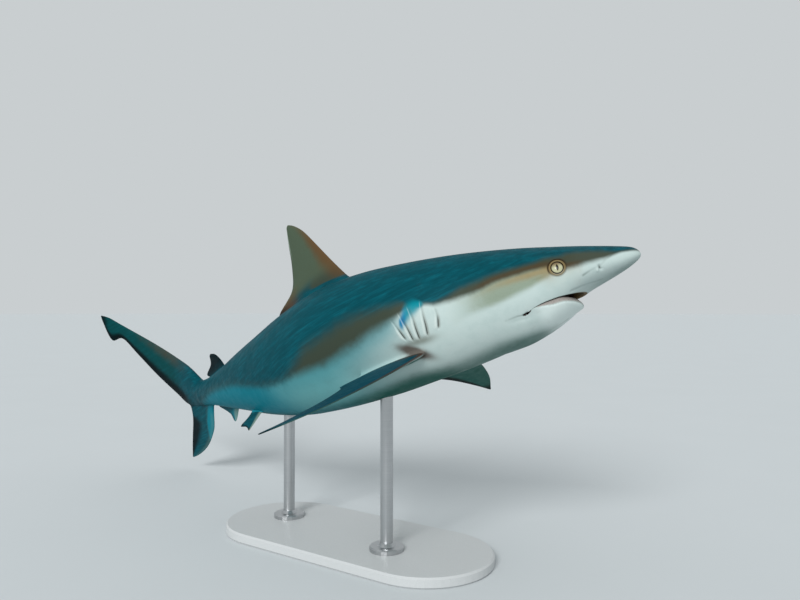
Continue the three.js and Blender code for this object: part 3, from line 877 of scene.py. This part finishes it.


# Carves the gills, the grooves, the nostrils and the pits at the mouth's corners, and paints their shade and
# highlights.
def carveSkin(skin):
    refine(skin, (19.1, 4.4, -2.7), (23.8, 9, 1.4), 3)  # finer faces at the gills,
    refine(skin, (2.2, 1.6, -1.4), (6.4, 9, 0.95))  # at the nostrils
    refine(skin, (12.0, 3.5, -3.2), (13.9, 9, -2.3))  # and at the mouth's corners
    points, normals = readPoints(skin), readNormals(skin)
    out, marks = gillRelief(points)
    marks["foldShade"], marks["flap"] = np.zeros((2, len(points)))
    for side in (-1, 1):
        mine = points[:, 1] * side > 0.05
        half = points[mine]
        # painted shade along each groove
        for groove in grooves.values():
            near = distanceTo(half, groove["line"])
            out[mine] -= groove["depth"] * hill(near, groove["width"])
            shade = groove["shade"] * hill(near, 1.5 * groove["width"])
            marks["foldShade"][mine] = np.maximum(marks["foldShade"][mine], shade)
        # painted shade in each nostril's hole and in the pits at the mouth's corners
        hole = hill(distanceTo(half, nostril["line"]), nostril["width"])
        # painted highlight on each nostril's flap
        flap = distanceTo(half, nostril["flapLine"])
        pit = hill(distanceTo(half, mouth["pit"]), mouth["pitWidth"])
        out[mine] += nostril["flap"] * hill(flap, nostril["flapWidth"]) - nostril["depth"] * hole
        out[mine] -= mouth["pitDepth"] * pit
        marks["slit"][mine] = np.max([marks["slit"][mine], nostril["shade"] * hole, pit], 0)
        marks["flap"][mine] = hill(flap, nostril["flapHighlight"])
    writePoints(skin, points + normals * (out * millimetre)[:, None])
    for name, values in marks.items():
        writeMask(skin, name, values)


# How the colours lie on the straight body. The edge is where the dark back meets the pale flank.
colouring = {
    # station, height of the edge, how soft it is
    "edge": [(0, -0.05, 0.2), (0.6, 0.3, 0.2), (2.0, 0.4, 0.2), (3.8, 0.2, 0.3), (7.2, 0.12, 0.4),
             (8.9, 0.78, 0.3), (10.3, 0.88, 0.3), (13.2, 0.86, 0.32), (16.1, 0.4, 0.35), (19, 0.35, 0.4),
             (20.6, 0.8, 0.35), (21.8, 0.75, 0.35), (22.6, 0.45, 0.45), (23.4, 0.1, 0.6),
             (25.6, -0.45, 0.9), (28.3, -1.35, 0.95), (32.4, -2.15, 0.85), (37.5, -2.1, 0.7),
             (42, -1.9, 0.7), (48, -0.9, 0.8), (54, 0.1, 0.9), (60, 0.3, 0.9), (66, 0.1, 0.9),
             (70, -0.5, 0.9), (73, -1.1, 1.0), (75.5, -3.5, 1.2), (78, -8, 1.2), (100, -14, 1.2)],
    # station, how far above the edge the bronze turns to teal, how soft that is
    "bronze": [(0, 0.15, 0.2), (2, 0.15, 0.25), (3.8, 0.8, 0.35), (5.5, 1.3, 0.4), (6.8, 1.5, 0.45),
               (8.8, 0.95, 0.4), (10.2, 0.75, 0.35), (13, 0.8, 0.4), (16, 0.95, 0.45), (19, 0.3, 0.4),
               (20.6, 0.05, 0.4), (21.5, 0.2, 0.4), (22.2, 0.9, 0.5), (23.5, 1.6, 0.7), (25.6, 2.1, 1.0),
               (28.3, 2.9, 1.2), (32.4, 2.7, 1.3), (36, 1.0, 1.2), (39, 0, 1), (76, 0, 1)],
    # station, height down to which the cheek is ochre
    "cheek": [(8.3, 0.05), (10.8, -0.6), (12.3, -0.85), (14, -1.15), (16.7, -1.5), (18.8, -2.3)],
    # station, how far the skin must face down to take the painted shade of the underside
    "underShade": [(0, 0.72), (6, 0.85), (8, 0.92), (10, 0.8), (13, 0.66), (16, 0.68), (20, 0.72), (24, 0.68),
              (30, 0.74), (36, 0.78), (50, 0.7)],
    # station, height and half height of the blue on the gills, a painted highlight of blue water light
    "blue": [(20.2, 0.8, 0.2), (20.7, 0.85, 0.5), (21.3, 0.75, 0.85), (22.0, 0.35, 0.95), (22.5, -0.25, 0.75),
             (23.1, -0.75, 0.4)],
}


# Which fin a vertex belongs to, from its straight place.
def finRegions(points, span):
    a, y, z = points.T
    on = smoothStep(0, 0.05, span)
    high, aside = z > 0, np.abs(y)
    return {
        "firstDorsal": on * (high & (a > 28) & (a < 47)),
        "secondDorsal": on * (high & (a > 60) & (a < 72)),
        "anal": on * (~high & (a > 60) & (a < 70.5) & (aside < 0.6) & (z > -5.3)),
        "pectoral": on * (~high & (a > 17) & (a < 47) & (aside > 2)),
        "pelvic": on * (~high & (a > 47) & (a < 60)),
        "lowerLobe": on * (~high & (a > 70.6) & (z < -1.2) & (aside < 1.5)),
        "upperLobe": smoothStep(75, 77, a) * (z > -1.9),
    }


# A band between two values with soft sides.
def band(low, high, side, value):
    return smoothStep(low, low + side, value) * (1 - smoothStep(high - side, high, value))


# The marks round the eye, above it and on the cheek, with painted shade in the crease round the lids.
def headMasks(points, body):
    a, y, z = points.T
    fromEye = np.stack([a - eye["station"], z - eye["height"]], -1) / millimetre
    gap = np.hypot(*fromEye.T)
    above = fromEye[:, 1] / np.maximum(gap, 1)
    front = -fromEye[:, 0] / np.maximum(gap, 1)
    facing = np.abs(y) > 3
    fromEdge = z - smoothTable(colouring["edge"])(a)
    # painted shade in the crease round the lids, darker at the top
    creaseShade = band(11.6, 15, 1.3, gap) * (0.5 + 0.5 * smoothStep(-0.6, 0.5, above - 0.3 * front))
    brow = hill(fromEdge - 0.3, 0.3) * band(4.5, 17, 2.5, a)
    belowEdge = 0.75 * hill(fromEdge + 0.35, 0.45) * (1 - smoothStep(10, 19, a)) * smoothStep(8, 9, a)
    roundEye = (1 - smoothStep(9, 50, gap)) * np.clip(0.75 + 0.5 * above - 0.1 * front, 0, 1)
    return {
        "cheek": smoothStep(-0.5, 0.45, z - smoothTable(colouring["cheek"])(a))
        * smoothStep(7.4, 9.2, a) * (1 - smoothStep(13, 20, a)) * body,
        "tan": np.maximum(roundEye, belowEdge) * facing,
        "rust": brow * 0.8 * facing,
        "lid": band(9.3, 12.8, 0.8, gap) * facing,
        "lidDarkAndShade": np.maximum(creaseShade, (1 - smoothStep(9.3, 9.9, gap)) * (gap > 7)) * facing,
    }


def colourTable(name, station):  # both values of a row
    return [smoothTable(colouring[name], column)(station) for column in (1, 2)]


# Writes the masks that the skin's material reads.
def paintMasks(skin):
    points = readPoints(skin)
    a, y, z = points.T
    upper = readNormals(skin)[:, 2]
    span, chord = readMask(skin, "span"), readMask(skin, "chord")
    fin = finRegions(points, span)
    paired = np.maximum(fin["pectoral"], fin["pelvic"])
    body = 1 - np.max(list(fin.values()), 0)
    edge, edgeSoft = colourTable("edge", a)
    bronze, bronzeSoft = colourTable("bronze", a)
    blueMiddle, blueReach = colourTable("blue", a)
    teal = (z - edge - bronze) / bronzeSoft * (1 - paired) + paired * (4 * upper - 0.2)
    # painted shade: skin and paired fins that face down are darkened, the belly's shade turning teal towards
    # the tail
    underShadeFrom = smoothTable(colouring["underShade"])(a)
    bodyUnderShade = smoothStep(underShadeFrom, underShadeFrom + 0.3, -upper) * body
    finUnderShade = 0.85 * paired * (upper < 0) * smoothStep(0.05, 0.3, span)
    # painted highlight: blue water light on the upper halves of the gills
    blue = hill(z - blueMiddle, blueReach) * (band(20.1, 23.1, 0.5, a) * body)
    masks = {
        "back": (z - edge) / edgeSoft * (1 - paired) + paired * (4 * upper + 0.2),
        "teal": teal - 9 * fin["firstDorsal"] * smoothStep(6.0, 8.2, z),
        "sea": smoothStep(17, 36, a),
        "deepSea": smoothStep(33, 49, a),
        "shoulder": np.clip(1 - (edge - z) / 2.8, 0, 1) * band(21.5, 42, 3, a) * body,
        "underShade": np.maximum(bodyUnderShade * (0.7 + 0.3 * smoothStep(18, 23, a)), finUnderShade),
        "olive": fin["firstDorsal"] * smoothStep(0.02, 0.2, span),
        "leadBrown": fin["firstDorsal"] * dorsalBrown(span, chord)
        + 0.45 * fin["upperLobe"] * bump(0.35, 0.35, span) * (1 - smoothStep(0.05, 0.4, chord)),
        "underShadeRear": bodyUnderShade * smoothStep(27, 37, a),
        # painted light: the jaw's skin is lightened against the shade of its downward face
        "jawPaintedLight": jawSkin(skin) * (1 - smoothStep(9.5, 11.8, a)),
        "finTop": fin["pectoral"] * smoothStep(-0.1, 0.3, upper) * smoothStep(0.02, 0.15, span),
        "lobeGreen": fin["upperLobe"] * smoothStep(0.1, 0.4, span),
        "blue": blue,
        "blueRear": blue * smoothStep(21.4, 22.6, a),
        "gillGrey": 0.75 * hill(a - 21.6, 1.7) * hill(z + 2.5, 0.45) * body,
        "whole": np.ones(len(points)),
    }
    masks.update(headMasks(points, body))
    rootBrown = fin["pectoral"] * (1 - smoothStep(0.0, 0.12, span)) * (1 - smoothStep(0.1, 0.5, chord))
    finLead = fin["pectoral"] * (1 - smoothStep(0.0, 0.03, chord)) * (1 - smoothStep(0.1, 0.95, span))
    behindGills = 1.3 * hill(a - 22.4, 1.3) * hill(z + 3.35 - 0.6 * (a - 22.4), 0.6) * body
    masks["brown"] = np.clip(rootBrown * (upper > -0.2) + 0.7 * finLead + behindGills, 0, 1)
    masks["black"], masks["paleEdge"] = finMargins(fin, span, chord, upper)
    for name, values in masks.items():
        writeMask(skin, name, values)
    writeMask(skin, "laid", points, "FLOAT_VECTOR")


# Brown along the front edge of the first dorsal fin and at the back of its foot.
def dorsalBrown(span, chord):
    front = (1 - smoothStep(0.0, 0.24, chord)) * (0.3 + 0.7 * bump(0.3, 0.5, span))
    return np.maximum(front, 0.8 * smoothStep(0.45, 0.8, chord) * (1 - smoothStep(0.08, 0.34, span)))


# The black margins of the fins and their pale front edges.
def finMargins(fin, span, chord, upper):
    tip = np.maximum(smoothStep(0.8, 0.97, span), smoothStep(0.7, 0.92, chord) * smoothStep(0.1, 0.3, span))
    pelvicEdge = np.maximum(smoothStep(0.75, 0.95, span), smoothStep(0.75, 0.95, chord))
    lobeRear = smoothStep(0.5, 0.88, chord) * smoothStep(0.05, 0.2, span)
    lobeEdge = np.maximum(lobeRear, 0.8 * smoothStep(0.84, 0.95, span))
    dorsalFoot = 0.8 * smoothStep(0.7, 0.95, chord) * (span < 0.12)
    dorsalEdge = np.maximum(smoothStep(0.955, 0.985, chord), dorsalFoot)
    black = [
        fin["pectoral"] * tip * np.where(upper < 0, 1, 0.35),
        fin["secondDorsal"] * (0.65 + 0.25 * smoothStep(0.0, 0.35, span)),
        fin["anal"] * smoothStep(0.12, 0.35, chord) * 0.6,
        fin["pelvic"] * pelvicEdge * 0.8,
        fin["lowerLobe"] * smoothStep(0.3, 0.8, chord) * smoothStep(0.02, 0.25, span),
        fin["upperLobe"] * lobeEdge,
        0.75 * fin["firstDorsal"] * dorsalEdge,
    ]
    pale = [
        fin["firstDorsal"] * band(0.84, 0.97, 0.05, chord) * smoothStep(0.5, 0.8, span),
        0.25 * fin["lowerLobe"] * (1 - smoothStep(0.04, 0.2, chord)),
        0.6 * fin["anal"] * (1 - smoothStep(0.08, 0.25, chord)),
        0.6 * fin["pelvic"] * (1 - smoothStep(0.05, 0.2, chord)),
    ]
    return np.max(black, 0), np.max(pale, 0)


def hexColour(code):  # sRGB hex to linear
    share = np.array([int(code[i:i + 2], 16) for i in (1, 3, 5)]) / 255
    linear = np.where(share <= 0.04045, share / 12.92, ((share + 0.055) / 1.055) ** 2.4)
    return [float(value) for value in linear] + [1]


# Adds a node with its settings; an input is given a value, or the output that feeds it.
def addNode(tree, kind, inputs=None, **settings):
    item = tree.nodes.new(kind)
    for key, value in settings.items():
        setattr(item, key, value)
    for key, value in (inputs or {}).items():
        if isinstance(value, bpy.types.NodeSocket):
            tree.links.new(value, item.inputs[key])
        else:
            item.inputs[key].default_value = value
    return item


def newMaterial(name, **settings):
    material = bpy.data.materials.new(name)
    material.use_nodes = True
    shader = material.node_tree.nodes["Principled BSDF"]
    for key, value in settings.items():
        shader.inputs[key.replace("_", " ")].default_value = value
    return material, material.node_tree, shader


# Shark skin: dermal denticles over a slick hide, so a satin surface with a tight, fine grain.
skinFinish = {
    "pale": "#afbfbc",
    # mask, low, high, how ragged, pattern, strength, colour
    "layers": [
        ("whole", -1, 0, 0, "cloud", 0.4, "#c6d2cf"),
        ("sea", 0, 1, 0.1, "", 0.88, "#4d9599"),
        ("deepSea", 0, 1, 0.1, "", 1, "#026f7e"),
        ("shoulder", 0, 1, 0.3, "", 0.7, "#3a7c84"),
        # painted light on the jaw
        ("jawPaintedLight", 0, 1, 0, "", 0.75, "#d7e3e0"),
        # painted shade of the underside
        ("underShade", 0, 1, 0.25, "", 0.97, "#0d4f45"),
        ("underShadeRear", 0, 1, 0.2, "", 0.8, "#03606c"),
        # painted shade along the grooves
        ("foldShade", 0, 1, 0, "", 0.8, "#4f5f58"),
        # painted highlight on the nostrils' flaps
        ("flap", 0, 1, 0, "", 0.45, "#e2ece9"),
        ("gillGrey", 0, 1, 0.3, "", 0.8, "#5d5f52"),
        ("cheek", 0, 1, 0.35, "", 0.82, "#76836d"),
        ("cheek", 0, 1, 0, "dots", 0.25, "#525c47"),
        ("tan", 0, 1, 0.25, "", 0.8, "#8b7448"),
        ("back", -1, 1, 0.8, "", 0.97, "#363c30"),
        ("rust", 0, 1, 0.3, "", 0.5, "#4d3319"),
        ("teal", -1, 1, 0.9, "", 0.99, "#02434d"),
        # painted light: streaks of caustic water light on the back, with painted shade between them
        ("teal", -1, 1, 0, "causticLightStreaks", 0.45, "#0a6a78"),
        ("teal", -1, 1, 0, "causticShadeStreaks", 0.5, "#012e35"),
        ("finTop", 0, 1, 0.2, "", 0.7, "#013645"),
        ("lobeGreen", 0, 1, 0.3, "", 0.6, "#0a3d38"),
        ("olive", 0, 1, 0.2, "", 0.95, "#4a5645"),
        ("olive", 0, 1, 0, "dots", 0.4, "#2b3226"),
        ("leadBrown", 0, 1, 0.3, "", 0.75, "#5c3d20"),
        # painted highlight: blue water light on the gills
        ("blue", 0.1, 1.15, 0.3, "", 1, "#02808e"),
        ("blueRear", 0.15, 1.3, 0.3, "", 0.9, "#0568a0"),
        ("brown", 0, 0.9, 0.3, "", 0.85, "#432d1f"),
        # painted shade ahead of each gill slit, and a painted highlight on its crest
        ("gillShade", 0, 1, 0, "", 0.5, "#5c5548"),
        ("gillHighlight", 0, 1, 0, "", 0.5, "#cfd8d3"),
        ("lid", 0, 1, 0, "", 0.8, "#7f6d4a"),
        # the dark of the lids, partly their colour and partly painted shade in the crease
        ("lidDarkAndShade", 0, 1, 0, "", 0.9, "#2b1d0f"),
        ("black", 0, 1, 0.2, "", 0.93, "#070d10"),
        ("paleEdge", 0, 1, 0.1, "", 0.8, "#8fa090"),
        # painted shade in the gill slits, the nostrils and the pits at the mouth's corners
        ("slit", 0.15, 0.9, 0, "", 0.88, "#1c120d"),
        ("gum", 0, 1, 0, "", 0.95, "#8f8883"),
        ("gumPits", 0, 1, 0, "pits", 0.7, "#4a3a33"),
        # painted shade inside the mouth
        ("liningShade", 0, 1, 0, "", 1, "#2c120c"),
        ("palate", 0, 1, 0, "", 0.9, "#6a5427"),
    ],
    # sizes of the patterns in millimetres; the grain is coarser than real denticles, so that it shows
    "cloud": 160 / 9, "speckle": 1.9, "pit": 2.5, "grain": 1.3,
    "streak": (144, 17.6, 12),  # a stretch along, across and upright that holds about two of the painted streaks of water light
    "streakTip": 12,  # degrees by which the streaks slope down towards the tail
}


def skinMaterial():
    material, tree, shader = newMaterial("satin_denticled_hide", IOR=1.4, Specular_IOR_Level=0.05)
    laid = addNode(tree, "ShaderNodeAttribute", attribute_name="laid").outputs["Vector"]
    cloud = addNode(tree, "ShaderNodeTexNoise", {
        "Vector": laid, "Scale": 1 / (skinFinish["cloud"] * millimetre),
        "Detail": 6, "Roughness": 0.62}).outputs[0]
    along = addNode(tree, "ShaderNodeMapping", {
        "Vector": laid, "Rotation": (0, radians(skinFinish["streakTip"]), 0),
        "Scale": [size * millimetre for size in skinFinish["streak"]]},
        vector_type="TEXTURE").outputs[0]
    streak = addNode(tree, "ShaderNodeTexNoise", {
        "Vector": along, "Scale": 1.9, "Detail": 5, "Roughness": 0.72, "Distortion": 0.3}).outputs[0]
    patterns = {}
    # the streaks are painted light and shade of the water
    for name, source, low, high in (("cloud", cloud, 0.35, 0.7), ("causticLightStreaks", streak, 0.5, 0.74),
                                    ("causticShadeStreaks", streak, 0.5, 0.28)):
        patterns[name] = addNode(tree, "ShaderNodeMapRange", {
            "Value": source, "From Min": low, "From Max": high}).outputs[0]
    for name, size in (("dots", skinFinish["speckle"]), ("pits", skinFinish["pit"])):
        cells = addNode(tree, "ShaderNodeTexVoronoi", {"Vector": laid, "Scale": 1 / (size * millimetre)})
        patterns[name] = addNode(tree, "ShaderNodeMapRange", {
            "Value": cells.outputs["Distance"], "From Min": 0.3, "From Max": 0.12},
            interpolation_type="SMOOTHSTEP").outputs[0]
    ragged = addNode(tree, "ShaderNodeMath", {0: cloud, 1: 0.5}, operation="SUBTRACT").outputs[0]
    tint = hexColour(skinFinish["pale"])
    for mask, low, high, rough, pattern, strength, colour in skinFinish["layers"]:
        value = addNode(tree, "ShaderNodeAttribute", attribute_name=mask).outputs["Fac"]
        if rough:
            value = addNode(tree, "ShaderNodeMath", {0: ragged, 1: rough, 2: value},
                            operation="MULTIPLY_ADD").outputs[0]
        share = addNode(tree, "ShaderNodeMapRange", {
            "Value": value, "From Min": low, "From Max": high, "To Max": strength},
            interpolation_type="SMOOTHSTEP").outputs[0]
        if pattern:
            share = addNode(tree, "ShaderNodeMath", {0: share, 1: patterns[pattern]},
                            operation="MULTIPLY").outputs[0]
        tint = addNode(tree, "ShaderNodeMix", {0: share, 6: tint, 7: hexColour(colour)},
                       data_type="RGBA").outputs[2]
    tree.links.new(tint, shader.inputs["Base Color"])
    grain = addNode(tree, "ShaderNodeTexNoise", {
        "Vector": laid, "Scale": 1 / (skinFinish["grain"] * millimetre), "Detail": 2}).outputs[0]
    relief = addNode(tree, "ShaderNodeBump", {"Height": grain, "Strength": 0.12, "Distance": 0.0005})
    tree.links.new(relief.outputs[0], shader.inputs["Normal"])
    rough = addNode(tree, "ShaderNodeMapRange", {
        "Value": cloud, "From Min": 0.3, "From Max": 0.7, "To Min": 0.42, "To Max": 0.6}).outputs[0]
    tree.links.new(rough, shader.inputs["Roughness"])
    return material


eyeball = {  # millimetres
    "radius": 12.5, "flat": 0.8, "sink": 7.8,
    "iris": 8.5, "pupilWide": 1.6, "pupilTall": 5.0,
    "pupilLean": 7,  # degrees
    # the iris's upper part is darker, partly its colour and partly painted shade of the lid above
    "fibres": ("#8f9170", "#c9c7a6"), "upper": "#5f4726", "rim": "#20160c", "halo": "#6a5230",
    "pupil": "#060504",
}


# Glass eye: a painted iris under clear glass.
def eyeMaterial():
    material, tree, shader = newMaterial("painted_glass_eye", Roughness=0.3, IOR=1.35, Coat_Weight=0.12,
                                         Coat_Roughness=0.03)
    gaze = addNode(tree, "ShaderNodeAttribute", attribute_name="gaze").outputs["Vector"]
    parts = addNode(tree, "ShaderNodeSeparateXYZ", {0: gaze})
    across, up = parts.outputs[0], parts.outputs[1]
    reach = addNode(tree, "ShaderNodeVectorMath", {0: gaze}, operation="LENGTH").outputs["Value"]
    # fibres run from the pupil to the rim
    angle = addNode(tree, "ShaderNodeMath", {0: up, 1: across}, operation="ARCTAN2").outputs[0]
    slow = addNode(tree, "ShaderNodeMath", {0: reach, 1: 0.12}, operation="MULTIPLY").outputs[0]
    rays = addNode(tree, "ShaderNodeCombineXYZ", {0: angle, 1: slow}).outputs[0]
    fibre = addNode(tree, "ShaderNodeTexNoise", {"Vector": rays, "Scale": 9, "Detail": 3}).outputs[0]
    # the pupil is a standing slit, pointed at both ends
    leaning = addNode(tree, "ShaderNodeVectorRotate", {
        "Vector": gaze, "Angle": radians(eyeball["pupilLean"])}, rotation_type="Z_AXIS")
    turned = addNode(tree, "ShaderNodeSeparateXYZ", {0: leaning.outputs[0]})
    tall = addNode(tree, "ShaderNodeMath", {0: turned.outputs[1], 1: eyeball["pupilTall"]},
                   operation="DIVIDE")
    square = addNode(tree, "ShaderNodeMath", {0: tall.outputs[0], 1: tall.outputs[0]}, operation="MULTIPLY")
    wide = addNode(tree, "ShaderNodeMath", {
        0: square.outputs[0], 1: -eyeball["pupilWide"], 2: eyeball["pupilWide"]}, operation="MULTIPLY_ADD")
    aside = addNode(tree, "ShaderNodeMath", {0: turned.outputs[0]}, operation="ABSOLUTE")
    outside = addNode(tree, "ShaderNodeMath", {0: aside.outputs[0], 1: wide.outputs[0]}, operation="SUBTRACT")
    dark, light = [hexColour(code) for code in eyeball["fibres"]]
    tint = addNode(tree, "ShaderNodeMix", {0: fibre, 6: dark, 7: light}, data_type="RGBA").outputs[2]
    rim = eyeball["iris"]
    # what each ring reads, from, to, strength, colour; the darker upper iris and the dark rim are partly
    # colour and partly painted shade of the lids
    for source, low, high, strength, colour in (
            (up, 0, 6.5, 0.9, eyeball["upper"]), (reach, rim - 0.9, rim - 0.1, 1, eyeball["rim"]),
            (outside.outputs[0], 1.1, 0.1, 0.8, eyeball["halo"]),
            (outside.outputs[0], 0.2, -0.1, 1, eyeball["pupil"])):
        share = addNode(tree, "ShaderNodeMapRange", {
            "Value": source, "From Min": low, "From Max": high, "To Max": strength}).outputs[0]
        tint = addNode(tree, "ShaderNodeMix", {0: share, 6: tint, 7: hexColour(colour)},
                       data_type="RGBA").outputs[2]
    tree.links.new(tint, shader.inputs["Base Color"])
    return material


def makeEyes():
    finish = eyeMaterial()
    station, height = eye["station"], eye["height"]
    # the pole of each ball looks straight out of the head
    slope = skinSide(station + 0.5, height) - skinSide(station - 0.5, height)
    lean = skinSide(station, height + 0.5) - skinSide(station, height - 0.5)
    out = np.array([-slope, 1, -lean])
    out /= np.linalg.norm(out)
    ahead = np.array([-1, -slope, 0]) / np.hypot(1, slope)
    up = np.cross(ahead, out)
    up *= np.sign(up[2])
    middle = np.array([station, skinSide(station, height), height]) - out * eyeball["sink"] * millimetre
    for name, side in (("left", 1), ("right", -1)):
        deselectAll()
        bpy.ops.mesh.primitive_uv_sphere_add(segments=96, ring_count=48, radius=eyeball["radius"])
        ball = bpy.context.object
        ball.name = "eyeball_" + name
        points = readPoints(ball)
        writeMask(ball, "gaze", points * (1, 1, 0), "FLOAT_VECTOR")
        x, y, z = points.T[:, :, None]
        spot = middle + millimetre * (x * ahead + y * up + z * eyeball["flat"] * out)
        spot[:, 1] *= side
        writePoints(ball, posed(spot))
        turnOutwards(ball)
        bpy.ops.object.shade_smooth()
        ball.data.materials.append(finish)
        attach(ball, "root")
        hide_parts("eye_" + name)


standFinish = {
    "plate": ("#b4b7b8", "#c3c6c6"), "rod": ("#a9abad", "#c9cbcc"),
    # sizes of the patterns in millimetres; the rod's lines are coarser than real ones, so that they show
    "peel": 10 / 7,
    "lines": (50, 50, 2 / 3),
}


# Powder-coated steel plate: a soft even sheen with a fine orange-peel texture.
def plateMaterial():
    material, tree, shader = newMaterial("powder_coated_steel", Roughness=0.45)
    place = addNode(tree, "ShaderNodeTexCoord").outputs["Object"]
    peel = addNode(tree, "ShaderNodeTexNoise", {
        "Vector": place, "Scale": 1000 / standFinish["peel"], "Detail": 2}).outputs[0]
    dark, light = [hexColour(code) for code in standFinish["plate"]]
    tint = addNode(tree, "ShaderNodeMix", {0: peel, 6: dark, 7: light}, data_type="RGBA").outputs[2]
    tree.links.new(tint, shader.inputs["Base Color"])
    relief = addNode(tree, "ShaderNodeBump", {"Height": peel, "Strength": 0.15, "Distance": 0.0004})
    tree.links.new(relief.outputs[0], shader.inputs["Normal"])
    return material


# Brushed stainless steel rod: fine lines round the rod, from turning.
def rodMaterial():
    material, tree, shader = newMaterial("brushed_stainless_steel", Metallic=1.0, Roughness=0.32)
    place = addNode(tree, "ShaderNodeTexCoord").outputs["Object"]
    lines = addNode(tree, "ShaderNodeMapping", {
        "Vector": place, "Scale": [1000 / size for size in standFinish["lines"]]}).outputs[0]
    brush = addNode(tree, "ShaderNodeTexNoise", {"Vector": lines, "Scale": 1, "Detail": 3}).outputs[0]
    dark, light = [hexColour(code) for code in standFinish["rod"]]
    tint = addNode(tree, "ShaderNodeMix", {0: brush, 6: dark, 7: light}, data_type="RGBA").outputs[2]
    tree.links.new(tint, shader.inputs["Base Color"])
    rough = addNode(tree, "ShaderNodeMapRange", {"Value": brush, "To Min": 0.26, "To Max": 0.42}).outputs[0]
    tree.links.new(rough, shader.inputs["Roughness"])
    return material


skin = buildSkinTube(ringStations())
layStraight(skin)
turnOutwards(skin)
addModifier(skin, "SUBSURF", levels=1, render_levels=1)
print("skin laid out", len(skin.data.vertices), len(skin.data.polygons))
openMouth(skin)
carveSkin(skin)
triangles = sum(len(face.vertices) - 2 for face in skin.data.polygons)
print("mouth and folds", len(skin.data.vertices), len(skin.data.polygons), triangles)
paintMasks(skin)
writePoints(skin, posed(readPoints(skin)))
activate(skin)
bpy.ops.object.shade_smooth()

flesh = ["head", "lower_jaw", "gill_region", "trunk_front", "trunk_middle", "trunk_rear", "tail_stalk",
         "first_dorsal_fin", "second_dorsal_fin", "anal_fin", "caudal_fin_upper", "caudal_fin_lower",
         "pectoral_fin_left", "pectoral_fin_right", "pelvic_fin_left", "pelvic_fin_right"]
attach(skin, "root")
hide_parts(*flesh)
skin.data.materials.append(skinMaterial())
makeEyes()
finishes = {"stand_base": plateMaterial()}
finishes["stand_rod_front"] = finishes["stand_rod_rear"] = rodMaterial()
for name, finish in finishes.items():
    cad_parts[name].material_slots[0].material = finish
print("materials", len(bpy.data.materials))

camera = {
    "place": (0.7834, -0.9795, 0.4275),
    "turn": (91.031, 0, 34.541),  # tip, lean and heading in degrees
    "lens": 30.23,
}
bpy.ops.object.camera_add(location=camera["place"], rotation=[radians(angle) for angle in camera["turn"]])
bpy.context.object.data.lens = camera["lens"]
bpy.context.scene.camera = bpy.context.object

studio = {
    "air": "#c9ced0",
    "floorTones": (0.94, 0.97),  # shares of the air's colour
    "speck": 1000 / 3,  # size of the floor's pattern in millimetres
    "key": 2.6, "keyTurn": (60, 0, 14), "softness": 24,  # tip and heading of the light, in degrees
}
bpy.ops.mesh.primitive_plane_add(size=300)
floor = bpy.context.object
floor.name = "floor"
paint, tree, shader = newMaterial("matt_studio_floor", Roughness=0.9)
place = addNode(tree, "ShaderNodeTexCoord").outputs["Object"]
speck = addNode(tree, "ShaderNodeTexNoise", {"Vector": place, "Scale": 1000 / studio["speck"]}).outputs[0]
air = hexColour(studio["air"])[:3]
dark, light = [[channel * share for channel in air] + [1] for share in studio["floorTones"]]
tint = addNode(tree, "ShaderNodeMix", {0: speck, 6: dark, 7: light}, data_type="RGBA").outputs[2]
tree.links.new(tint, shader.inputs["Base Color"])
floor.data.materials.append(paint)

bpy.ops.object.light_add(type="SUN", rotation=[radians(angle) for angle in studio["keyTurn"]])
lamp = bpy.context.object
lamp.data.angle = radians(studio["softness"])
lamp.data.energy = studio["key"]
world = bpy.data.worlds.new("studio")
bpy.context.scene.world = world
world.use_nodes = True
world.node_tree.nodes["Background"].inputs[0].default_value = hexColour(studio["air"])
world.node_tree.nodes["Background"].inputs[1].default_value = 1
bpy.context.scene.view_settings.view_transform = "Standard"
